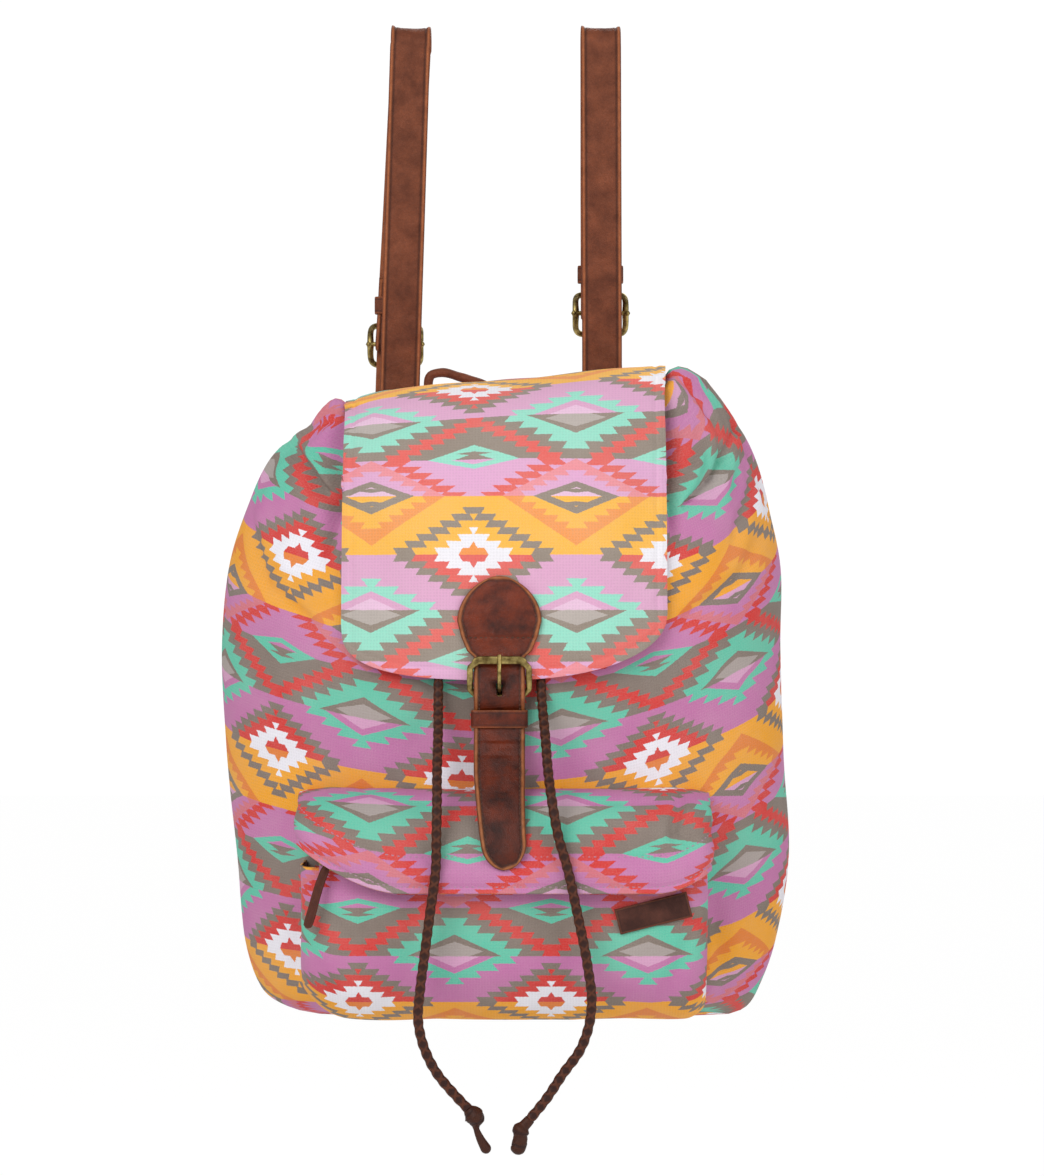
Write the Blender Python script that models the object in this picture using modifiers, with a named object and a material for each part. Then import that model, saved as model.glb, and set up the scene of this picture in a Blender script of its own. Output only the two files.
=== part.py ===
"""Drawstring canvas rucksack with a buckled flap, a hooded zip pocket and leather straps.

Units are metres, +Z is up and the front of the bag faces -Y.  The origin lies where the bag
hangs: on the inside of the two shoulder-strap bends, midway between the straps.
"""
import math

import bmesh
import bpy
import numpy as np
from mathutils import Vector

# Bag body
BAG_WIDTH = 0.346
BAG_HEIGHT = 0.392
BAG_DEPTH = 0.158
SHOULDER_DROP = 0.227
BACK_DEPTH = 0.062
FRONT_ROUNDNESS = 2.3
BACK_ROUNDNESS = 3.2
SEAM_ANGLE = 52.5
SEAM_SLACK = 0.0015
CANVAS = 0.0014
SHOULDER_TILT = 0.008
SHOULDER_DIP = 0.016
BASE_THICKNESS = 0.0020

# Gathered mouth
GATHERS = 12
GATHER_DEPTH = 0.0032
MOUTH_WIDTH = 0.100
MOUTH_DEPTH = 0.062
MOUTH_DROP = 0.0155
CASING_RADIUS = 0.0065
EYELET_SPREAD = 0.046
EYELET_HOLE = 0.0044
EYELET_WIRE = 0.0010

# Flap
FLAP_WIDTH = 0.193
FLAP_THICKNESS = 0.0016
FLAP_DROP = 0.181
FLAP_CREST_TILT = 0.09
FLAP_CORNER_LEFT = 0.033
FLAP_CORNER_RIGHT = 0.039
FLAP_SEAM_HEIGHT = 0.020
FLAP_SEAT_DROP = 0.040
FLAP_CREST_DROP = 0.070
FLAP_FLAT = 0.045

# Front pocket and its zip
POCKET_WIDTH = 0.2385
POCKET_REACH = 0.031
POCKET_TOP_DROP = 0.245
POCKET_CORNER = 0.010
HOOD_STANDOFF = 0.0115
HOOD_LENGTH = 0.058
HOOD_LEFT_LIFT = 0.032
HOOD_RIGHT_LIFT = 0.007
PANEL_TUCK = 0.0080
ZIP_DROP = 0.0375
ZIP_GAP = 0.0130
ZIP_INSET = 0.01225
ZIP_LENGTH = POCKET_WIDTH - 2 * ZIP_INSET
ZIP_TAPE = 0.0008
ZIP_TAPE_HEIGHT = 0.0095
COIL_HEIGHT = 0.0048
COIL_THICKNESS = 0.0022
SLIDER_LENGTH = 0.0110
SLIDER_HEIGHT = 0.0100
BAIL_REACH = 0.0037
BAIL_WIRE = 0.0008
PULL_RADIUS = 0.0027
PULL_WIRE = 0.0006
THONG_LEAN = 19.0
THONG_LENGTH = 0.0400
THONG_HOLE = 0.0016
THONG_WIDTH = 0.0058
THONG_THICKNESS = 0.0020
PATCH_WIDTH = 0.0440
PATCH_HEIGHT = 0.0150
PATCH_THICKNESS = 0.0014
PATCH_TILT = 14.0
PATCH_INSET = 0.03575
PATCH_OFFSET = POCKET_WIDTH / 2 - PATCH_INSET
PATCH_DROP = 0.0313

# Flap closure
CLOSURE_OFFSET = -0.0027
LEATHER = 0.0024
TAB_WIDTH = 0.0495
TAB_NECK = 0.0380
TAB_TOP_DROP = 0.1190
BILLET_WIDTH = 0.0300
BILLET_LENGTH = 0.1060
CHAPE_WIDTH = 0.0260
CHAPE_THICKNESS = 0.0022
CHAPE_LENGTH = 0.0320
CHAPE_TURN = 0.0180
CHAPE_LOOP = 0.0043
CLOSURE_DROP = 0.1912
FRAME_WIDTH = 0.0383
FRAME_HEIGHT = 0.0257
FRAME_WIRE = 0.0035
FRAME_CLIP = 0.0040
PRONG_WIRE = 0.0024
PRONG_EYE = 0.0034
KEEPER_HEIGHT = 0.0090
KEEPER_DROP = 0.0125
KEEPER_THICKNESS = 0.0012

# Shoulder straps: one left value and one right value each
STRAP_WIDTH = 0.0254
STRAP_BEND = 0.0090
STRAP_TOP_X = (-0.0600, 0.0605)
STRAP_SEAM_X = (-0.0682, 0.0617)
STRAP_FOOT_X = (-0.0850, 0.0850)
BUCKLE_X = (-0.0708, 0.0610)
BUCKLE_DROP = (0.1975, 0.1776)
BUCKLE_STANDOFF = 0.0170
STRAP_SEAM_DROP = 0.0230
STRAP_SEAM_LENGTH = 0.0260
STRAP_TURN = 0.0420
BUCKLE_WIDTH = 0.0355
BUCKLE_HEIGHT = 0.0290
BUCKLE_WIRE = 0.0032
BUCKLE_BAR = 0.0030
BUCKLE_BOW = 0.0106
TAIL_WIDTH = 0.0240
TAIL_TIP = 0.0620
TAIL_HOLES = 5
TAIL_HOLE_PITCH = 0.0250
TAIL_HOLE = 0.0046
TAIL_SEAM_LENGTH = 0.0200
STRAP_KEEPER_RISE = 0.0250
STRAP_KEEPER_HEIGHT = 0.0110

# Haul loop
HAUL_LEFT_X = -0.0480
HAUL_RIGHT_X = 0.0080
HAUL_DROP = 0.0210
HAUL_RISE = 0.0315
HAUL_SAG = 0.0080
HAUL_ROLL = 0.0060

# Drawcord
CORD = 0.0060
KNOT = 0.0122
CORD_POINT_STEP = 0.0150

GAP = 0.0003
SIDES = (-1, 1)
SIDE_NAMES = {-1: "left", 1: "right"}

SHOULDER_Z = -SHOULDER_DROP
BASE_Z = SHOULDER_Z - BAG_HEIGHT
MIDDLE_Y = -BACK_DEPTH
FRONT_Y = -BAG_DEPTH
POCKET_Y = FRONT_Y - POCKET_REACH
HOOD_Y = POCKET_Y - HOOD_STANDOFF
POCKET_TOP_Z = SHOULDER_Z - POCKET_TOP_DROP
ZIP_Z = POCKET_TOP_Z - ZIP_DROP
CLOSURE_Z = SHOULDER_Z - CLOSURE_DROP
HEM_Z = BASE_Z + BASE_THICKNESS + GAP


def clear_objects():
    """Remove whatever the open file holds."""
    for obj in list(bpy.data.objects):
        bpy.data.objects.remove(obj, do_unlink=True)


clear_objects()
BAG = bpy.data.collections.new("backpack")
CUTTERS = bpy.data.collections.new("cutters")
bpy.context.scene.collection.children.link(BAG)
bpy.context.scene.collection.children.link(CUTTERS)


def make_material(name, colour, roughness, metallic=0.0):
    """One Principled material with a plain colour."""
    mat = bpy.data.materials.new(name)
    mat.use_nodes = True
    shader = mat.node_tree.nodes["Principled BSDF"]
    shader.inputs["Base Color"].default_value = (*colour, 1.0)
    shader.inputs["Roughness"].default_value = roughness
    shader.inputs["Metallic"].default_value = metallic
    mat.diffuse_color = (*colour, 1.0)
    return mat


MAUVE = (0.58, 0.19, 0.44)
LEATHER_BROWN = (0.19, 0.06, 0.035)
CORD_BROWN = (0.07, 0.015, 0.008)
BRASS_GOLD = (0.36, 0.29, 0.14)


def add_mesh(name, verts, faces, mat, collection=None):
    """A mesh object from vertices and faces."""
    mesh = bpy.data.meshes.new(name)
    mesh.from_pydata([tuple(v) for v in verts], [], faces)
    mesh.shade_smooth()
    mesh.set_sharp_from_angle(angle=math.radians(40))
    mesh.materials.append(mat)
    obj = bpy.data.objects.new(name, mesh)
    (collection or BAG).objects.link(obj)
    return obj


def add_grid(name, grid, mat, closed=False):
    """A sheet from rows of points; closed joins each row's end to its start."""
    rows, cols = grid.shape[:2]
    last = cols if closed else cols - 1
    faces = []
    for i in range(rows - 1):
        for j in range(last):
            k = (j + 1) % cols
            faces.append((i * cols + j, i * cols + k, (i + 1) * cols + k, (i + 1) * cols + j))
    return add_mesh(name, grid.reshape(-1, 3), faces, mat)


def thicken(obj, thickness, offset):
    """Give a sheet its thickness; offset -1 grows inwards, 0 both ways."""
    solid = obj.modifiers.new("thickness", "SOLIDIFY")
    solid.thickness = thickness
    solid.offset = offset
    solid.use_even_offset = True
    return obj


def cut(obj, cutter, operation="DIFFERENCE"):
    """Boolean with an exact solver; the cutter is only a guide."""
    mod = obj.modifiers.new("cut", "BOOLEAN")
    mod.operation = operation
    mod.object = cutter
    cutter.hide_render = True
    cutter.display_type = "WIRE"
    return obj


def to_cutters(obj):
    """Move an object from its collection to the cutters."""
    for col in list(obj.users_collection):
        col.objects.unlink(obj)
    CUTTERS.objects.link(obj)
    return obj


def smooth_path(points, count):
    """Evenly spaced points on a smooth curve through chosen points, eased by their spacing."""
    pts = np.array(points, float)
    gaps = np.linalg.norm(np.diff(pts, axis=0), axis=1)
    slopes = np.diff(pts, axis=0) / gaps[:, None]
    before, after = gaps[:-1, None], gaps[1:, None]
    inner = (slopes[:-1] * after + slopes[1:] * before) / (before + after)
    tangents = np.vstack([slopes[:1], inner, slopes[-1:]])
    t = np.linspace(0.0, 1.0, 24, endpoint=False)[:, None]
    fine = []
    for i, gap in enumerate(gaps):
        fine.append((2 * t ** 3 - 3 * t ** 2 + 1) * pts[i] + (t ** 3 - 2 * t ** 2 + t) * gap * tangents[i]
                    + (3 * t ** 2 - 2 * t ** 3) * pts[i + 1] + (t ** 3 - t ** 2) * gap * tangents[i + 1])
    fine = np.vstack(fine + [pts[-1:]])
    steps = np.linalg.norm(np.diff(fine, axis=0), axis=1)
    along = np.concatenate([[0.0], np.cumsum(steps)])
    wanted = np.linspace(0.0, along[-1], count)
    return np.stack([np.interp(wanted, along, fine[:, k]) for k in range(pts.shape[1])], axis=1)


def path_normals(path):
    """Unit normals of a path in the YZ plane, turned left of its direction."""
    direction = np.gradient(path, axis=0)
    direction /= np.linalg.norm(direction, axis=1)[:, None]
    return np.stack([-direction[:, 1], direction[:, 0]], axis=1)


def add_strip(name, x_centre, path, half_width, thickness, mat):
    """A leather strip: a YZ path carried across a width, then thickened both ways."""
    x = np.broadcast_to(x_centre, len(path))
    half = np.broadcast_to(half_width, len(path))
    left = np.stack([x - half, path[:, 0], path[:, 1]], axis=1)
    right = np.stack([x + half, path[:, 0], path[:, 1]], axis=1)
    obj = add_grid(name, np.stack([left, right], axis=1), mat)
    return thicken(obj, thickness, 0.0)


def add_wire(name, points, radius, mat, closed=False, resolution=2):
    """A round wire or cord along a list of points."""
    curve = bpy.data.curves.new(name, "CURVE")
    curve.dimensions = "3D"
    spline = curve.splines.new("POLY")
    spline.points.add(len(points) - 1)
    for slot, point in zip(spline.points, points):
        slot.co = (*point, 1.0)
    spline.use_cyclic_u = closed
    curve.bevel_depth = radius
    curve.bevel_resolution = resolution
    curve.use_fill_caps = not closed
    curve.materials.append(mat)
    obj = bpy.data.objects.new(name, curve)
    BAG.objects.link(obj)
    return obj


def as_mesh(obj):
    """Replace a curve object by the mesh it makes, with its caps welded."""
    bpy.context.view_layer.update()
    depsgraph = bpy.context.evaluated_depsgraph_get()
    mesh = bpy.data.meshes.new_from_object(obj.evaluated_get(depsgraph))
    work = bmesh.new()
    work.from_mesh(mesh)
    bmesh.ops.remove_doubles(work, verts=work.verts, dist=0.00001)
    bmesh.ops.recalc_face_normals(work, faces=work.faces)
    work.to_mesh(mesh)
    work.free()
    name = obj.name
    place = obj.matrix_world.copy()
    bpy.data.objects.remove(obj, do_unlink=True)
    mesh_obj = bpy.data.objects.new(name, mesh)
    mesh_obj.matrix_world = place
    BAG.objects.link(mesh_obj)
    return mesh_obj


def add_cylinder(name, centre, radius, length, axis, mat, sides=16):
    """A cylinder on the given axis letter."""
    bpy.ops.mesh.primitive_cylinder_add(vertices=sides, radius=radius, depth=length, location=centre)
    obj = bpy.context.object
    obj.name = name
    if axis == "X":
        obj.rotation_euler = (0.0, math.pi / 2, 0.0)
    if axis == "Y":
        obj.rotation_euler = (math.pi / 2, 0.0, 0.0)
    for col in list(obj.users_collection):
        col.objects.unlink(obj)
    BAG.objects.link(obj)
    obj.data.materials.append(mat)
    return obj


def add_box(name, centre, size, mat, bevel=0.0):
    """A box, with rounded edges where bevel is given."""
    bpy.ops.mesh.primitive_cube_add(size=1.0, location=centre)
    obj = bpy.context.object
    obj.name = name
    obj.data.transform(((size[0], 0, 0, 0), (0, size[1], 0, 0), (0, 0, size[2], 0), (0, 0, 0, 1)))
    for col in list(obj.users_collection):
        col.objects.unlink(obj)
    BAG.objects.link(obj)
    obj.data.materials.append(mat)
    if bevel:
        mod = obj.modifiers.new("edges", "BEVEL")
        mod.width = bevel
        mod.segments = 2
    return obj


def add_slot_cutter(name, centre, length, width, depth):
    """A slot with round ends that runs along Z and cuts along Y."""
    half = length / 2 - width / 2
    turns = np.linspace(0.0, math.pi, 7)
    top = [(width / 2 * math.cos(t), half + width / 2 * math.sin(t)) for t in turns]
    low = [(-x, -z) for x, z in top]
    outline = top + low
    count = len(outline)
    verts = []
    for y in (-depth / 2, depth / 2):
        verts += [(centre[0] + x, centre[1] + y, centre[2] + z) for x, z in outline]
    faces = [tuple(range(count)), tuple(reversed(range(count, 2 * count)))]
    faces += [(i, i + count, (i + 1) % count + count, (i + 1) % count) for i in range(count)]
    obj = add_mesh(name, verts, faces, BRASS, CUTTERS)
    work = bmesh.new()
    work.from_mesh(obj.data)
    bmesh.ops.recalc_face_normals(work, faces=work.faces)
    work.to_mesh(obj.data)
    work.free()
    return obj


def add_frame_loop(name, centre, inner, wall, height, mat):
    """A leather loop round a strap: a rectangular ring in plan, extruded along Z."""
    curve = bpy.data.curves.new(name, "CURVE")
    curve.dimensions = "2D"
    curve.fill_mode = "BOTH"
    curve.extrude = height / 2
    for grow in (wall, 0.0):
        spline = curve.splines.new("POLY")
        spline.points.add(3)
        half_x = inner[0] / 2 + grow
        half_y = inner[1] / 2 + grow
        corners = ((-half_x, -half_y), (half_x, -half_y), (half_x, half_y), (-half_x, half_y))
        for slot, (x, y) in zip(spline.points, corners):
            slot.co = (x, y, 0.0, 1.0)
        spline.use_cyclic_u = True
    curve.materials.append(mat)
    obj = bpy.data.objects.new(name, curve)
    obj.location = centre
    BAG.objects.link(obj)
    return as_mesh(obj)


CANVAS_PRINT = make_material("printed_canvas", MAUVE, 0.85)
STRAP_LEATHER = make_material("strap_leather", LEATHER_BROWN, 0.6)
CORD_LEATHER = make_material("cord_leather", CORD_BROWN, 0.5)
BRASS = make_material("antique_brass", BRASS_GOLD, 0.4, 1.0)
ZIP_CLOTH = make_material("zip_tape", (0.05, 0.03, 0.03), 0.9)

# Body: stations up the bag as (height, left half width, right half width, front depth) shares
BODY_STATIONS = (
    (0.000, 0.66, 0.80, 0.76),
    (0.012, 0.77, 0.86, 0.82),
    (0.045, 0.87, 0.905, 0.895),
    (0.120, 0.925, 0.965, 0.955),
    (0.240, 0.950, 1.010, 0.985),
    (0.420, 0.991, 0.992, 1.000),
    (0.580, 1.009, 0.980, 0.985),
    (0.700, 0.985, 0.984, 0.953),
    (0.800, 0.920, 0.938, 0.890),
    (0.880, 0.840, 0.885, 0.800),
    (0.940, 0.710, 0.810, 0.710),
    (0.975, 0.580, 0.700, 0.650),
)


def body_station(share):
    """Left and right half widths and front depth at a share of the bag's height."""
    table = np.array(BODY_STATIONS)
    left, right, front = (np.interp(share, table[:, 0], table[:, k]) for k in (1, 2, 3))
    return left * BAG_WIDTH / 2, right * BAG_WIDTH / 2, front * BAG_DEPTH - BACK_DEPTH


def superellipse_y(x, half_width, depth, power):
    """Depth of a rounded plan section at a distance from its middle."""
    return depth * max(0.0, 1.0 - (abs(x) / half_width) ** power) ** (1.0 / power)


def front_y(x, z):
    """Outer surface of the body's front at a point seen from the front."""
    left, right, front = body_station((z - HEM_Z) / (SHOULDER_Z - HEM_Z))
    return MIDDLE_Y - superellipse_y(x, right if x > 0 else left, front, FRONT_ROUNDNESS)


def back_y(x, z):
    """Outer surface of the body's back at a point seen from the back."""
    left, right, _ = body_station((z - HEM_Z) / (SHOULDER_Z - HEM_Z))
    return MIDDLE_Y + superellipse_y(x, right if x > 0 else left, BACK_DEPTH, BACK_ROUNDNESS)


def plan_section(angles, left, right, front, back):
    """Rounded plan section: a flatter back half and a rounder front half that share their sides."""
    c = np.cos(angles)
    s = np.sin(angles)
    power = np.where(s > 0, BACK_ROUNDNESS, FRONT_ROUNDNESS)
    x = np.where(c > 0, right, left) * np.sign(c) * np.abs(c) ** (2 / power)
    y = MIDDLE_Y + np.where(s > 0, back, front) * np.sign(s) * np.abs(s) ** (2 / power)
    return x, y


def body_rows(angles):
    """Rows of body points from the base up, over the gathered shoulder and in to the mouth."""
    shares = sorted([station[0] for station in BODY_STATIONS] + [0.08, 0.33, 0.84, 0.91])
    rows = []
    fold = np.cos(GATHERS * angles)
    for share in shares:
        left, right, front = body_station(share)
        x, y = plan_section(angles, left, right, front, BACK_DEPTH)
        puff = max(0.0, (share - 0.80) / 0.175)
        swell = 1.0 + fold * GATHER_DEPTH * puff / 0.12
        lift = puff ** 2 * (SHOULDER_TILT * x / left - SHOULDER_DIP * np.maximum(0.0, -np.sin(angles)) ** 2)
        z = HEM_Z + share * (SHOULDER_Z - HEM_Z)
        inside = np.where(np.sin(angles) > 0, 1.0, swell)
        rows.append(np.stack([x * swell, MIDDLE_Y + (y - MIDDLE_Y) * inside, z + lift], axis=1))
    top = rows[-1].copy()
    wide, deep = MOUTH_WIDTH / 2, MOUTH_DEPTH / 2
    mouth_x, mouth_y = plan_section(angles, wide, wide, deep, deep)
    mouth_z = SHOULDER_Z - MOUTH_DROP - CASING_RADIUS - 2 * GAP
    mouth = np.stack([mouth_x, mouth_y, np.full_like(mouth_x, mouth_z)], axis=1)
    for k in (0.35, 0.7, 1.0):
        row = top + (mouth - top) * k
        row[:, 2] += fold * GATHER_DEPTH * math.sin(math.pi * min(k, 0.999)) * 0.6 * (1.0 - k)
        row[:, 2] -= 0.002 * math.sin(math.pi * k)
        rows.append(row)
    return np.stack(rows)


def build_body():
    """Front and back panels of the bag, with a butt seam at each back corner."""
    step = 90.0 / GATHERS
    around = np.arange(180.0 - SEAM_ANGLE, 360.0 + SEAM_ANGLE + step / 2, step)
    behind = np.arange(SEAM_ANGLE, 180.0 - SEAM_ANGLE + step / 2, step)
    for name, degrees in (("body_front", around), ("body_back", behind)):
        grid = body_rows(np.radians(degrees))
        for edge, beside in ((0, 1), (-1, -2)):
            away = grid[:, beside] - grid[:, edge]
            slack = np.linspace(SEAM_SLACK, 2 * SEAM_SLACK, len(grid)) / np.linalg.norm(away, axis=1)
            grid[:, edge] += away * slack[:, None]
        thicken(add_grid(name, grid, CANVAS_PRINT), CANVAS, -1.0)


def build_base():
    """Oval base sewn under the body's lowest edge."""
    angles = np.radians(np.arange(0.0, 360.0, 9.0))
    left, right, front = body_station(0.0)
    x, y = plan_section(angles, left, right, front, BACK_DEPTH)
    curve = bpy.data.curves.new("body_base", "CURVE")
    curve.dimensions = "2D"
    curve.fill_mode = "BOTH"
    curve.extrude = BASE_THICKNESS / 2
    spline = curve.splines.new("POLY")
    spline.points.add(len(x) - 1)
    for slot, px, py in zip(spline.points, x, y):
        slot.co = (px, py, 0.0, 1.0)
    spline.use_cyclic_u = True
    curve.materials.append(CANVAS_PRINT)
    base = bpy.data.objects.new("body_base", curve)
    base.location = (0.0, 0.0, BASE_Z + BASE_THICKNESS / 2)
    BAG.objects.link(base)
    as_mesh(base)


def casing_point(angle):
    """Middle of the mouth's tunnel at an angle round the mouth."""
    x, y = plan_section(np.array([angle]), MOUTH_WIDTH / 2, MOUTH_WIDTH / 2, MOUTH_DEPTH / 2, MOUTH_DEPTH / 2)
    return Vector((x[0], y[0], SHOULDER_Z - MOUTH_DROP))


def casing_normal(angle):
    """Level direction straight out of the mouth's tunnel at an angle round the mouth."""
    ahead = casing_point(angle + 0.01) - casing_point(angle - 0.01)
    return Vector((ahead.y, -ahead.x, 0.0)).normalized()


def eyelet_angle(side):
    """Angle round the mouth at which a cord leaves the tunnel, left or right of the front."""
    return math.radians(270.0) + side * math.asin(EYELET_SPREAD / MOUTH_WIDTH)


def ring_grid(angles, radius):
    """Rows round the mouth's tunnel at a tube radius."""
    rows = []
    for angle in angles:
        middle = np.array(casing_point(angle))
        out = np.array([math.cos(angle), math.sin(angle), 0.0])
        turn = np.radians(np.arange(0.0, 360.0, 45.0))[:, None]
        rows.append(middle + radius * (np.cos(turn) * out + np.sin(turn) * np.array([0, 0, 1.0])))
    return np.stack(rows)


def build_casing():
    """Folded hem tunnel: a hollow ring round the mouth with a hole at each eyelet."""
    angles = np.radians(np.arange(0.0, 360.0, 11.25))
    grid = ring_grid(angles, CASING_RADIUS)
    grid = np.concatenate([grid, grid[:1]])
    rows, cols = len(angles), grid.shape[1]
    faces = []
    for i in range(rows):
        for j in range(cols):
            k = (j + 1) % cols
            n = (i + 1) % rows
            faces.append((i * cols + j, n * cols + j, n * cols + k, i * cols + k))
    casing = add_mesh("mouth_casing", grid[:-1].reshape(-1, 3), faces, CANVAS_PRINT)
    thicken(casing, CANVAS, -1.0)
    for side in SIDES:
        angle = eyelet_angle(side)
        middle = casing_point(angle)
        out = casing_normal(angle)
        hole = add_cylinder("eyelet_hole_" + SIDE_NAMES[side], middle + out * CASING_RADIUS,
                            EYELET_HOLE, 2 * CASING_RADIUS, "Z", BRASS, 12)
        hole.rotation_euler = out.to_track_quat("Z", "Y").to_euler()
        cut(casing, to_cutters(hole))
        ring = [middle + out * (CASING_RADIUS + EYELET_WIRE + GAP)
                + Vector((-out.y, out.x, 0.0)) * math.cos(t) * (EYELET_HOLE + EYELET_WIRE)
                + Vector((0, 0, 1)) * math.sin(t) * (EYELET_HOLE + EYELET_WIRE)
                for t in np.linspace(0.0, 2 * math.pi, 12, endpoint=False)]
        add_wire("eyelet_" + SIDE_NAMES[side], ring, EYELET_WIRE, BRASS, closed=True)


# Flap: side view as (share of the bag's depth, drop below the shoulder)
FLAP_SIDE = (
    (-0.0085, 0.0330),
    (-0.0085, 0.0140),
    (-0.0080, 0.0080),
    (0.030, -0.0010),
    (0.110, -0.0030),
    (0.285, -0.0015),
    (0.538, 0.0015),
    (0.775, 0.0170),
    (0.905, 0.0440),
    (0.985, 0.0830),
    (1.019, 0.1250),
    (1.040, 0.1650),
    (1.042, 0.1810),
)


def flap_side():
    """Fine side view of the flap's middle line, from the back seam to the front edge."""
    points = [(-share * BAG_DEPTH, SHOULDER_Z - drop) for share, drop in FLAP_SIDE]
    return smooth_path(points, 120)


def build_flap():
    """Flap: sewn to the back, over the mouth and down the front, with rounded lower corners."""
    side = flap_side()
    rows = np.concatenate([np.linspace(0.0, 0.14, 6)[:-1], np.linspace(0.14, 1.0, 14)])
    columns = np.linspace(-1.0, 1.0, 13)
    seam_y = side[0, 0]
    grid = np.zeros((len(rows), len(columns), 3))
    for j, across in enumerate(columns):
        x = across * FLAP_WIDTH / 2
        corner = FLAP_CORNER_RIGHT if across > 0 else FLAP_CORNER_LEFT
        trim = corner * (1.0 - math.sqrt(1.0 - across ** 2))
        reach = 1.0 - trim / (FLAP_SEAM_HEIGHT + FLAP_DROP + BAG_DEPTH)
        place = rows * reach * (len(side) - 1)
        y = np.interp(place, np.arange(len(side)), side[:, 0])
        z = np.interp(place, np.arange(len(side)), side[:, 1])
        for i in range(len(rows)):
            behind = min(1.0, max(0.0, (y[i] - MIDDLE_Y) / BACK_DEPTH))
            ahead = min(1.0, max(0.0, (MIDDLE_Y - y[i]) / (0.6 * BAG_DEPTH)))
            seat_z = min(z[i], SHOULDER_Z - FLAP_SEAT_DROP)
            seat = (back_y(x, seat_z) - back_y(0.0, seat_z)) * behind
            drape = (front_y(max(abs(x), FLAP_FLAT), z[i]) - front_y(FLAP_FLAT, z[i])) * ahead
            crest = min(1.0, max(0.0, 1.0 - (SHOULDER_Z - z[i]) / FLAP_CREST_DROP)) ** 1.5
            grid[i, j] = (x, y[i] + seat + drape, z[i] + FLAP_CREST_TILT * x * crest)
    grid[0, :, 1] = np.maximum(grid[0, :, 1], seam_y - 0.004)
    thicken(add_grid("flap", grid, CANVAS_PRINT), FLAP_THICKNESS, 0.0)


def pocket_plan(half, corner, depth):
    """Plan of the pocket's wall: across positions and how far each stands out, 0 to 1."""
    arc = np.linspace(0.0, math.pi / 2, 4)
    x = np.concatenate([[half, half, half], half - corner * (1.0 - np.cos(arc))])
    out = np.concatenate([[0.0, 0.35, 0.6], 1.0 - corner * (1.0 - np.sin(arc)) / depth])
    inner = np.linspace(0.0, half - corner, 6)[:-1]
    right_x = np.concatenate([inner, x[::-1]])
    right_out = np.concatenate([np.ones(len(inner)), out[::-1]])
    return np.concatenate([-right_x[:0:-1], right_x]), np.concatenate([right_out[:0:-1], right_out])


def pocket_sheet(name, half, face_y, levels):
    """Pocket wall: at each level the plan stands out from the body's front by the level's share."""
    side_y = front_y(half, ZIP_Z)
    across, out = pocket_plan(half, POCKET_CORNER, side_y - face_y)
    rows = []
    for z, share in levels:
        heights = z(across) if callable(z) else np.full_like(across, z)
        clear = (2 * GAP + CANVAS) * (1.0 + 1.6 * (np.abs(across) / half) ** 4)
        skin = np.array([front_y(x, h) for x, h in zip(across, heights)]) - clear
        rows.append(np.stack([across, skin + (face_y - skin) * out * share, heights], axis=1))
    return thicken(add_grid(name, np.stack(rows), CANVAS_PRINT), CANVAS, -1.0)


def hood_edge(across):
    """Height of the hood's lower edge, lifted at both ends of the pocket."""
    low = POCKET_TOP_Z - HOOD_LENGTH
    half = POCKET_WIDTH / 2
    left = HOOD_LEFT_LIFT * np.clip((-across - 0.62 * half) / (0.38 * half), 0.0, 1.0) ** 2
    right = HOOD_RIGHT_LIFT * np.clip((across - 0.70 * half) / (0.30 * half), 0.0, 1.0) ** 2
    return low + left + right


def build_pocket():
    """Pouch below the zip, top panel above it, and the hood that covers both."""
    half = POCKET_WIDTH / 2
    bottom = BASE_Z + 0.012
    pouch_top = ZIP_Z - ZIP_GAP / 2
    levels = [(pouch_top, 1.0)]
    for turn in np.radians((8, 30, 48, 62, 74, 83, 90)):
        rise = (pouch_top - bottom) * (1.0 - math.sin(turn) ** 0.55)
        levels.append((bottom + rise, max(0.0, math.cos(turn)) ** 0.45))
    pocket_sheet("pocket_pouch", half, POCKET_Y, levels[::-1])
    panel_low = ZIP_Z + ZIP_GAP / 2
    panel_flat = panel_low + ZIP_TAPE_HEIGHT
    panel = [(panel_low, 1.0)]
    for turn in np.radians((0, 35, 62, 80, 90)):
        rise = (POCKET_TOP_Z - PANEL_TUCK - panel_flat) * math.sin(turn) ** 0.8
        panel.append((panel_flat + rise, max(0.0, math.cos(turn))))
    pocket_sheet("pocket_top", half, POCKET_Y, panel)
    hood = []
    for turn in np.radians((0, 18, 38, 56, 72, 83, 90)):
        share = math.sin(turn) ** 0.77
        hood.append(((lambda x, s=share: hood_edge(x) + (POCKET_TOP_Z - hood_edge(x)) * s),
                     max(0.0, math.cos(turn)) ** 0.77))
    pocket_sheet("pocket_hood", half + CANVAS + 2 * GAP, HOOD_Y, hood)


def build_patch():
    """Bare leather patch on the pouch's front, tilted as it is sewn."""
    z = ZIP_Z - PATCH_DROP
    y = POCKET_Y - GAP - PATCH_THICKNESS / 2
    patch = add_box("leather_patch", (PATCH_OFFSET, y, z), (PATCH_WIDTH, PATCH_THICKNESS, PATCH_HEIGHT),
                    STRAP_LEATHER, 0.0003)
    patch.rotation_euler = (0.0, -math.radians(PATCH_TILT), 0.0)


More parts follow.
